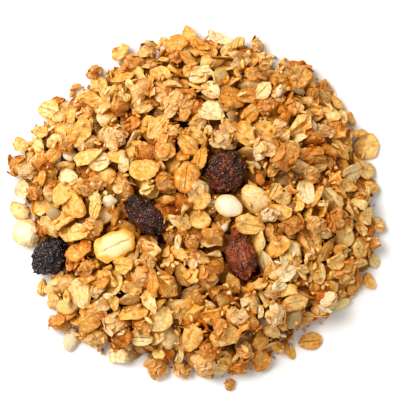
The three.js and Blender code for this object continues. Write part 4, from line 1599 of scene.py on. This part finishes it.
@dataclass
class LooseFlakes(Loose):
    """Rolled oats, whole and broken."""

    name: str = "oat_flakes"
    kind: Kind = Kind.FLAKE
    finish: OatFinish = OatFinish("rolled_oat")
    seed: int = 4177
    extent: tuple[float, float, float] = (1, FlakeMould.half_wide, FlakeMould.half_thick)
    lifted: float = 0.5
    styles: tuple[FlakeStyle, ...] = WHOLE
    lean: float = 34
    lean_marked: float = 12
    turned_over: float = 0.25
    tones: ToneDraw = ToneDraw((0.12, 0.28, 0.34, 0.2, 0.06))

    def shapes(self) -> list[Shape]:
        """Return the flakes to choose from."""
        return [FlakeMould().model(style, number + 1) for number, style in enumerate(self.styles)]

    def chosen(self, draw: Draw, piece: Piece) -> tuple[Numbers, float, bool]:
        """Draw a flake's tone, crease and chance, its lean, and whether it lies face down."""
        tone, crease, chance = self.tones.pick(draw, piece.tone), draw.one(), draw.one()
        over, tilt = draw.one() < self.turned_over, draw.one()
        lean = self.lean_marked if piece.tone else self.lean
        return (tone, min(1.0, max(0.0, crease * 2.2 - 1.1)), chance), lean * (2 * tilt - 1), over


@dataclass
class LooseClusters(Loose):
    """Baked clusters, craggy with small flakes and sugar."""

    name: str = "oat_clusters"
    kind: Kind = Kind.CLUSTER
    finish: OatFinish = OatFinish(
        "baked_cluster", CLUSTER_COLOURS, rim=0.0, blotch=0.9, dust=0.6, relief=0.6, grain=0.8
    )
    seed: int = 911
    extent: tuple[float, float, float] = ClusterMould.reach
    fatness: float = 1.12
    kinds: int = 7
    tones: ToneDraw = ToneDraw((0.05, 0.25, 0.38, 0.28, 0.04))

    def shapes(self) -> list[Shape]:
        """Return the clusters to choose from."""
        leaves = ClusterMould().leaf_kinds()
        return [ClusterMould().model(leaves, number + 1) for number in range(self.kinds)]

    def chosen(self, draw: Draw, piece: Piece) -> tuple[Numbers, float, bool]:
        """Draw a cluster's tone and chance; it lies as it was laid."""
        return (self.tones.pick(draw, piece.tone), 0, draw.one()), 0, False


@dataclass
class LooseSeeds(Loose):
    """Seeds and kernels: smooth, plump and paler than the oats."""

    name: str = "loose_seeds"
    kind: Kind = Kind.SEED
    finish: SeedFinish = SeedFinish("seed_skin", SEED_COLOURS)
    seed: int = 3307
    least_shown: float = 0
    crisp: float = 60
    kinds: int = 4

    def shapes(self) -> list[Shape]:
        """Return the seeds to choose from."""
        return [SeedMould().model(number + 1).fitted() for number in range(self.kinds)]

    def chosen(self, draw: Draw, piece: Piece) -> tuple[Numbers, float, bool]:
        """Draw a seed's two chances; its skin is known, and it lies as it was laid."""
        return (piece.tone.value, draw.one(), draw.one()), 0, False

    def build(self, surface: Surface, pieces: Sequence[Piece]) -> Thing:
        """Build the seeds, drawing for them alone."""
        return super().build(surface, [piece for piece in pieces if piece.kind is self.kind])


@dataclass
class LooseCrumbs:
    """Crumbs and husk bits that lie in the gaps and on the pieces."""

    seed: int = 65537
    count: int = 2000
    long: tuple[float, float] = (0.8, 3.3)
    mostly_small: float = 2.2
    inset: float = 0.5
    full_turn: float = 6.3
    left_on_top: float = 0.3
    flat: float = 0.45
    thick: float = 0.7
    least_high: float = 0.8
    lift: float = 0.6 - 0.15
    kinds: int = 5
    tones: ToneDraw = ToneDraw((0.08, 0.2, 0.32, 0.32, 0.08))
    finish: OatFinish = OatFinish("oat_crumb", rim=0.0, blotch=0.3, dust=0.3, relief=0.15, grain=1.1)

    def build(self, dome: Dome, surface: Surface) -> Thing:
        """Scatter the crumbs on the heap's surface.

        Args:
            dome: gives the outline.
            surface: gives the heights.

        Returns:
            The dressed piece.
        """
        shapes = [CrumbMould().model(number + 1) for number in range(self.kinds)]
        draw, pile = Draw(self.seed), Pile()
        for _ in range(self.count):
            angle = 2 * math.pi * draw.one()
            reach = math.sqrt(draw.one()) * (dome.reach(angle) - self.inset)
            spare = (self.long[1] - self.long[0]) / 2
            half = self.long[0] / 2 + spare * draw.one() ** self.mostly_small
            x, y = reach * math.cos(angle), reach * math.sin(angle)
            spin = Euler([self.full_turn * draw.one() for _ in range(3)]).to_matrix()
            shape = shapes[int(draw.one() * len(shapes))]
            look = (self.tones.pick(draw, None), 0, draw.one())
            if any(math.hypot(x - t.at[0], y - t.at[1]) < t.size[0] / 2 for t in TOPPINGS):
                continue
            height = surface.height(x, y)
            hollow = surface.depths(np.array([[x, y, height]]))[0]
            if draw.one() > self.left_on_top and hollow < 0:
                continue
            z = max(half * self.least_high, height + half * self.lift)
            pile.add(shape, (half, half * self.flat, half * self.thick), spin, (x, y, z), look)
        return dress(pile.build("oat_crumbs", self.finish.make(), surface), "toasted_oats", "heap")


def stand_in(
    name: str,
    shape: Shape,
    size: Numbers,
    axes: Matrix,
    at: Numbers,
    look: Numbers,
    finish: Finish,
    slot: str,
) -> Thing:
    """Build one finished piece on the place of a node.

    Args:
        name: the node's name.
        shape: the modelled shape.
        size: length, width and height, in millimetres.
        axes: how it is turned.
        at: where its middle is, in millimetres.
        look: three numbers that its finish reads.
        finish: its finish.
        slot: the finish slot, which is not used.

    Returns:
        The dressed piece.
    """
    pile = Pile()
    pile.add(shape.fitted(), [side / 2 for side in size], axes, at, look)
    return dress(pile.build(f"{name}_skin", finish.make()), slot, name)


def seated(heap: Heap, ways: dict[str, tuple[Callable[[Topping], Shape], Finish, str]]) -> list[Thing]:
    """Build the toppings that are named, each on its CAD node's place.

    Args:
        heap: says how high each lies.
        ways: what models each, its finish and its slot.

    Returns:
        The dressed pieces.
    """
    made = []
    for topping in TOPPINGS:
        if topping.name in ways:
            model, finish, slot = ways[topping.name]
            turn = Matrix.Rotation(math.radians(topping.turn), 3, "Z")
            lean = Matrix.Rotation(math.radians(-topping.lean), 3, "Y")
            at = Vector((*topping.at, heap.middle(topping)))
            size, look = topping.size, (0.5, 0, 0.5)
            made.append(stand_in(topping.name, model(topping), size, turn @ lean, at, look, finish, slot))
    return made


@dataclass(frozen=True)
class RaisinMould:
    """Models a raisin: a plump berry dried into folds."""

    detail: int = 6
    stretch: float = 1.0
    plump: tuple[float, float] = (0.94, 0.96)
    dents: float = 0.3
    dent_grain: float = 0.6
    folds: float = 0.14
    fold_grain: float = 0.22
    wrinkles: float = 0.035
    wrinkle_grain: float = 0.14
    apart: tuple[float, float, float] = (2.9, 4.3, 1.1)

    def model(self, topping: Topping) -> Shape:
        """Model one raisin, its folds told by its place among the toppings."""
        number = TOPPINGS.index(topping) + 1
        flat, tall = self.plump
        long, wide, high = (side / topping.size[0] for side in topping.size)
        size = (long / self.stretch * flat, wide * flat, high * tall)
        raisin = Bench.knob(topping.name, self.detail, size)
        Bench.put(raisin, (self.apart[0] * number, self.apart[1] * number, self.apart[2]))
        Bench.displace(raisin, "CLOUDS", self.dent_grain, self.dents)
        Bench.displace(raisin, "MUSGRAVE", self.fold_grain, self.folds)
        Bench.displace(raisin, "VORONOI", self.wrinkle_grain, self.wrinkles)
        Bench.finish(raisin)
        Bench.put(raisin, (0, 0, 0))
        Bench.scale(raisin, anywhere, (self.stretch, 1, 1))
        return Shape.taken_from(raisin)


@dataclass
class Raisins:
    """The four raisins on top of the heap."""

    dark: RaisinFinish = RaisinFinish("dark_raisin", (20, 6, 4), (74, 32, 22), (140, 100, 84), shine=0.26)
    # the glossy raisin's near-white speck colour is a painted highlight
    glossy: RaisinFinish = RaisinFinish(
        "glossy_raisin", (9, 3, 3), (40, 15, 9), (70, 50, 44), (226, 220, 216), shine=0.34
    )
    purple: RaisinFinish = RaisinFinish(
        "maroon_raisin", (34, 8, 3), (104, 42, 16), (206, 140, 92), shine=0.3
    )
    red: RaisinFinish = RaisinFinish(
        "red_raisin", (78, 22, 8), (160, 74, 30), (226, 156, 100), glow=0.25, shine=0.3
    )
    round: RaisinMould = RaisinMould(folds=0.08, fold_grain=0.26, wrinkles=0.02)
    long: RaisinMould = RaisinMould(stretch=1.9, folds=0.11, fold_grain=0.34, wrinkles=0.012)

    def build(self, heap: Heap) -> list[Thing]:
        """Build the raisins on the heap."""
        ways = {
            "raisin_round": (self.round.model, self.purple, "raisin"),
            "raisin_long": (self.long.model, self.dark, "raisin"),
            "raisin_rim": (self.long.model, self.glossy, "raisin"),
            "raisin_red": (self.long.model, self.red, "red_raisin"),
        }
        return seated(heap, ways)


@dataclass
class Kernels:
    """The nut half, the almond slice and the puffed grain."""

    nut: NutFinish = NutFinish("nut_flesh", (249, 224, 160), (240, 170, 50), edge_from=0.55, groove=0.7)
    almond: NutFinish = NutFinish(
        "almond_flesh", (226, 213, 186), (228, 194, 130), (222, 194, 144), 0.4, 0.5
    )
    puffed: NutFinish = NutFinish("puffed_skin", (248, 232, 190), (243, 208, 134), (226, 136, 36), 0.6)

    def nut_half(self, topping: Topping) -> Shape:
        """Model half a nut: its cut side up, grooved from end to end, its corners blunt."""
        nut = Bench.ball(topping.name, 32, 18)
        Bench.scale(nut, lambda corner: abs(corner.x) > 0.6, (1.02, 1.3, 1.15))
        Bench.scale(nut, lambda corner: corner.x > 0.2, (1, 0.9, 1))
        Bench.scale(nut, lambda corner: corner.z > 0.25, (1.04, 1.06, 0.62))
        Bench.move(nut, lambda corner: corner.z > 0.2 and abs(corner.y) < 0.1, (0, 0, -0.14))
        Bench.move(nut, lambda corner: corner.z > 0.2 and corner.x < -0.35, (0, 0, -0.12))
        Bench.leave()
        Bench.displace(nut, "CLOUDS", 0.5, 0.22)
        Bench.even(nut)
        return Shape.taken_from(nut)

    def almond_slice(self, topping: Topping) -> Shape:
        """Model a slice of almond: a flat oval, narrower at one end."""
        almond = Bench.ball(topping.name, 28, 16)
        Bench.scale(almond, lambda corner: abs(corner.z) > 0.35, (1, 1, 0.7))
        Bench.scale(almond, lambda corner: corner.x > 0.3, (1, 0.86, 0.9))
        Bench.leave()
        Bench.even(almond)
        Bench.displace(almond, "CLOUDS", 0.6, 0.12)
        return Shape.taken_from(almond)

    def puffed_grain(self, topping: Topping) -> Shape:
        """Model a puffed grain: round, with a bloated, pitted skin."""
        grain = Bench.knob(topping.name, 5)
        Bench.displace(grain, "CLOUDS", 0.6, 0.3)
        Bench.displace(grain, "VORONOI", 0.3, 0.08)
        return Shape.taken_from(grain)

    def build(self, heap: Heap) -> list[Thing]:
        """Build the kernels on the heap."""
        ways = {
            "nut_half": (self.nut_half, self.nut, "nut"),
            "almond_slice": (self.almond_slice, self.almond, "nut"),
            "puffed_grain": (self.puffed_grain, self.puffed, "toasted_oats"),
        }
        return seated(heap, ways)


@dataclass
class Strays:
    """The flake, seed and crumb that have rolled off the heap."""

    tones: tuple[Tone, ...] = (Tone.ORANGE, Tone.GOLD, Tone.ORANGE)
    lift: float = 0.02
    finish: OatFinish = OatFinish("stray_oat")

    def build(self) -> list[Thing]:
        """Build the strays, each on its CAD node's place."""
        shapes = (
            FlakeMould().model(FlakeStyle.CREASED, 21),
            SeedMould().model(2),
            ClusterMould().model(ClusterMould().leaf_kinds(), 9),
        )
        made = []
        for shape, (name, where), tone in zip(shapes, STRAYS.items(), self.tones):
            x, y, *size, turn = where
            axes = Matrix.Rotation(math.radians(turn), 3, "Z")
            at, look = (x, y, size[2] / 2 + self.lift), (tone.value, 1, 0.5)
            made.append(stand_in(name, shape, size, axes, at, look, self.finish, "toasted_oats"))
        return made


@dataclass
class Studio:
    """A plain pale floor, soft light and the photograph's view from above."""

    view_width: float = 119.2
    lens: float = 180.0
    sensor: float = 36.0
    elevation: float = 86.0
    aim: tuple[float, float, float] = (0.9, 1.8, 6.0)
    floor_reach: float = 3.0
    floor_colour: Colour = (252, 251, 249)
    floor_shade: Colour = (236, 234, 230)
    sky: float = 0.6
    sky_colour: tuple[float, float, float, float] = (1.0, 0.975, 0.93, 1.0)
    key: float = 12.1
    key_size: float = 0.6
    key_from: tuple[float, float, float] = (-0.5, 0.3, 0.82)

    def build(self) -> None:
        """Add the floor, the sky, the key light and the camera."""
        self.floor()
        world = bpy.data.worlds.new("studio")
        world.use_nodes = True
        background = world.node_tree.nodes["Background"]
        background.inputs["Color"].default_value = self.sky_colour
        background.inputs["Strength"].default_value = self.sky
        bpy.context.scene.world = world
        bpy.context.scene.view_settings.view_transform = "Standard"
        self.lamp("key_light", self.key_from, self.key_size, self.key)
        self.camera()

    def floor(self) -> None:
        """Add the floor with its faintly uneven white."""
        Bench.clear()
        bpy.ops.mesh.primitive_plane_add(size=self.floor_reach)
        floor = bpy.context.object
        floor.name = "floor"
        graph = Graph("white_floor", 0.2)
        shade = graph.noise(graph.place, 0.02, 2) * 0.05
        colour = graph.mix(shade, self.floor_colour, self.floor_shade)
        floor.data.materials.append(graph.close(colour, 0.7))
        floor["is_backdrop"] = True

    def lamp(self, name: str, way: Numbers, size: float, power: float) -> None:
        """Add a square soft light that looks at the heap.

        Args:
            name: its name.
            way: its place, in metres from the middle of the floor.
            size: its side in metres.
            power: its power in watts.
        """
        light = bpy.data.lights.new(name, "AREA")
        light.size = size
        light.energy = power
        lamp = bpy.data.objects.new(name, light)
        bpy.context.collection.objects.link(lamp)
        lamp.location = way
        lamp.rotation_euler = (-Vector(way)).to_track_quat("-Z", "Y").to_euler()

    def camera(self) -> None:
        """Add the camera, nearly above the heap."""
        lens = bpy.data.cameras.new("camera")
        lens.lens = self.lens
        lens.sensor_width = self.sensor
        camera = bpy.data.objects.new("camera", lens)
        bpy.context.collection.objects.link(camera)
        away = self.view_width * self.lens / self.sensor * MM
        up = math.radians(self.elevation)
        aim = Vector(self.aim) * MM
        way = Vector((0, -math.cos(up), math.sin(up)))
        camera.location = aim + way * away
        camera.rotation_euler = (-way).to_track_quat("-Z", "Y").to_euler()
        bpy.context.scene.camera = camera


def main() -> None:
    """Build every sub-assembly in order and report its pieces."""
    logging.basicConfig(level=logging.INFO, format="%(name)s: %(message)s")
    heap = Heap()
    Studio().build()
    surface, pieces = heap.lay()
    LOG.info("laid %d pieces", len(pieces))
    made = [PackedCore().build(heap.dome)]
    bits = LooseFlakes("oat_bits", Kind.BIT, OatFinish("oat_bit"), styles=BROKEN)
    for loose in (LooseFlakes(), bits, LooseClusters(), LooseSeeds()):
        made.append(loose.build(surface, pieces))
    made.append(LooseCrumbs().build(heap.dome, surface))
    made += Raisins().build(heap)
    made += Kernels().build(heap)
    made += Strays().build()
    for piece in made:
        LOG.info("made %s", piece.name)
    boxes = [[list(corner) for corner in box] for box in (CAD_BOX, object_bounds())]


if __name__ == "__main__":
    main()
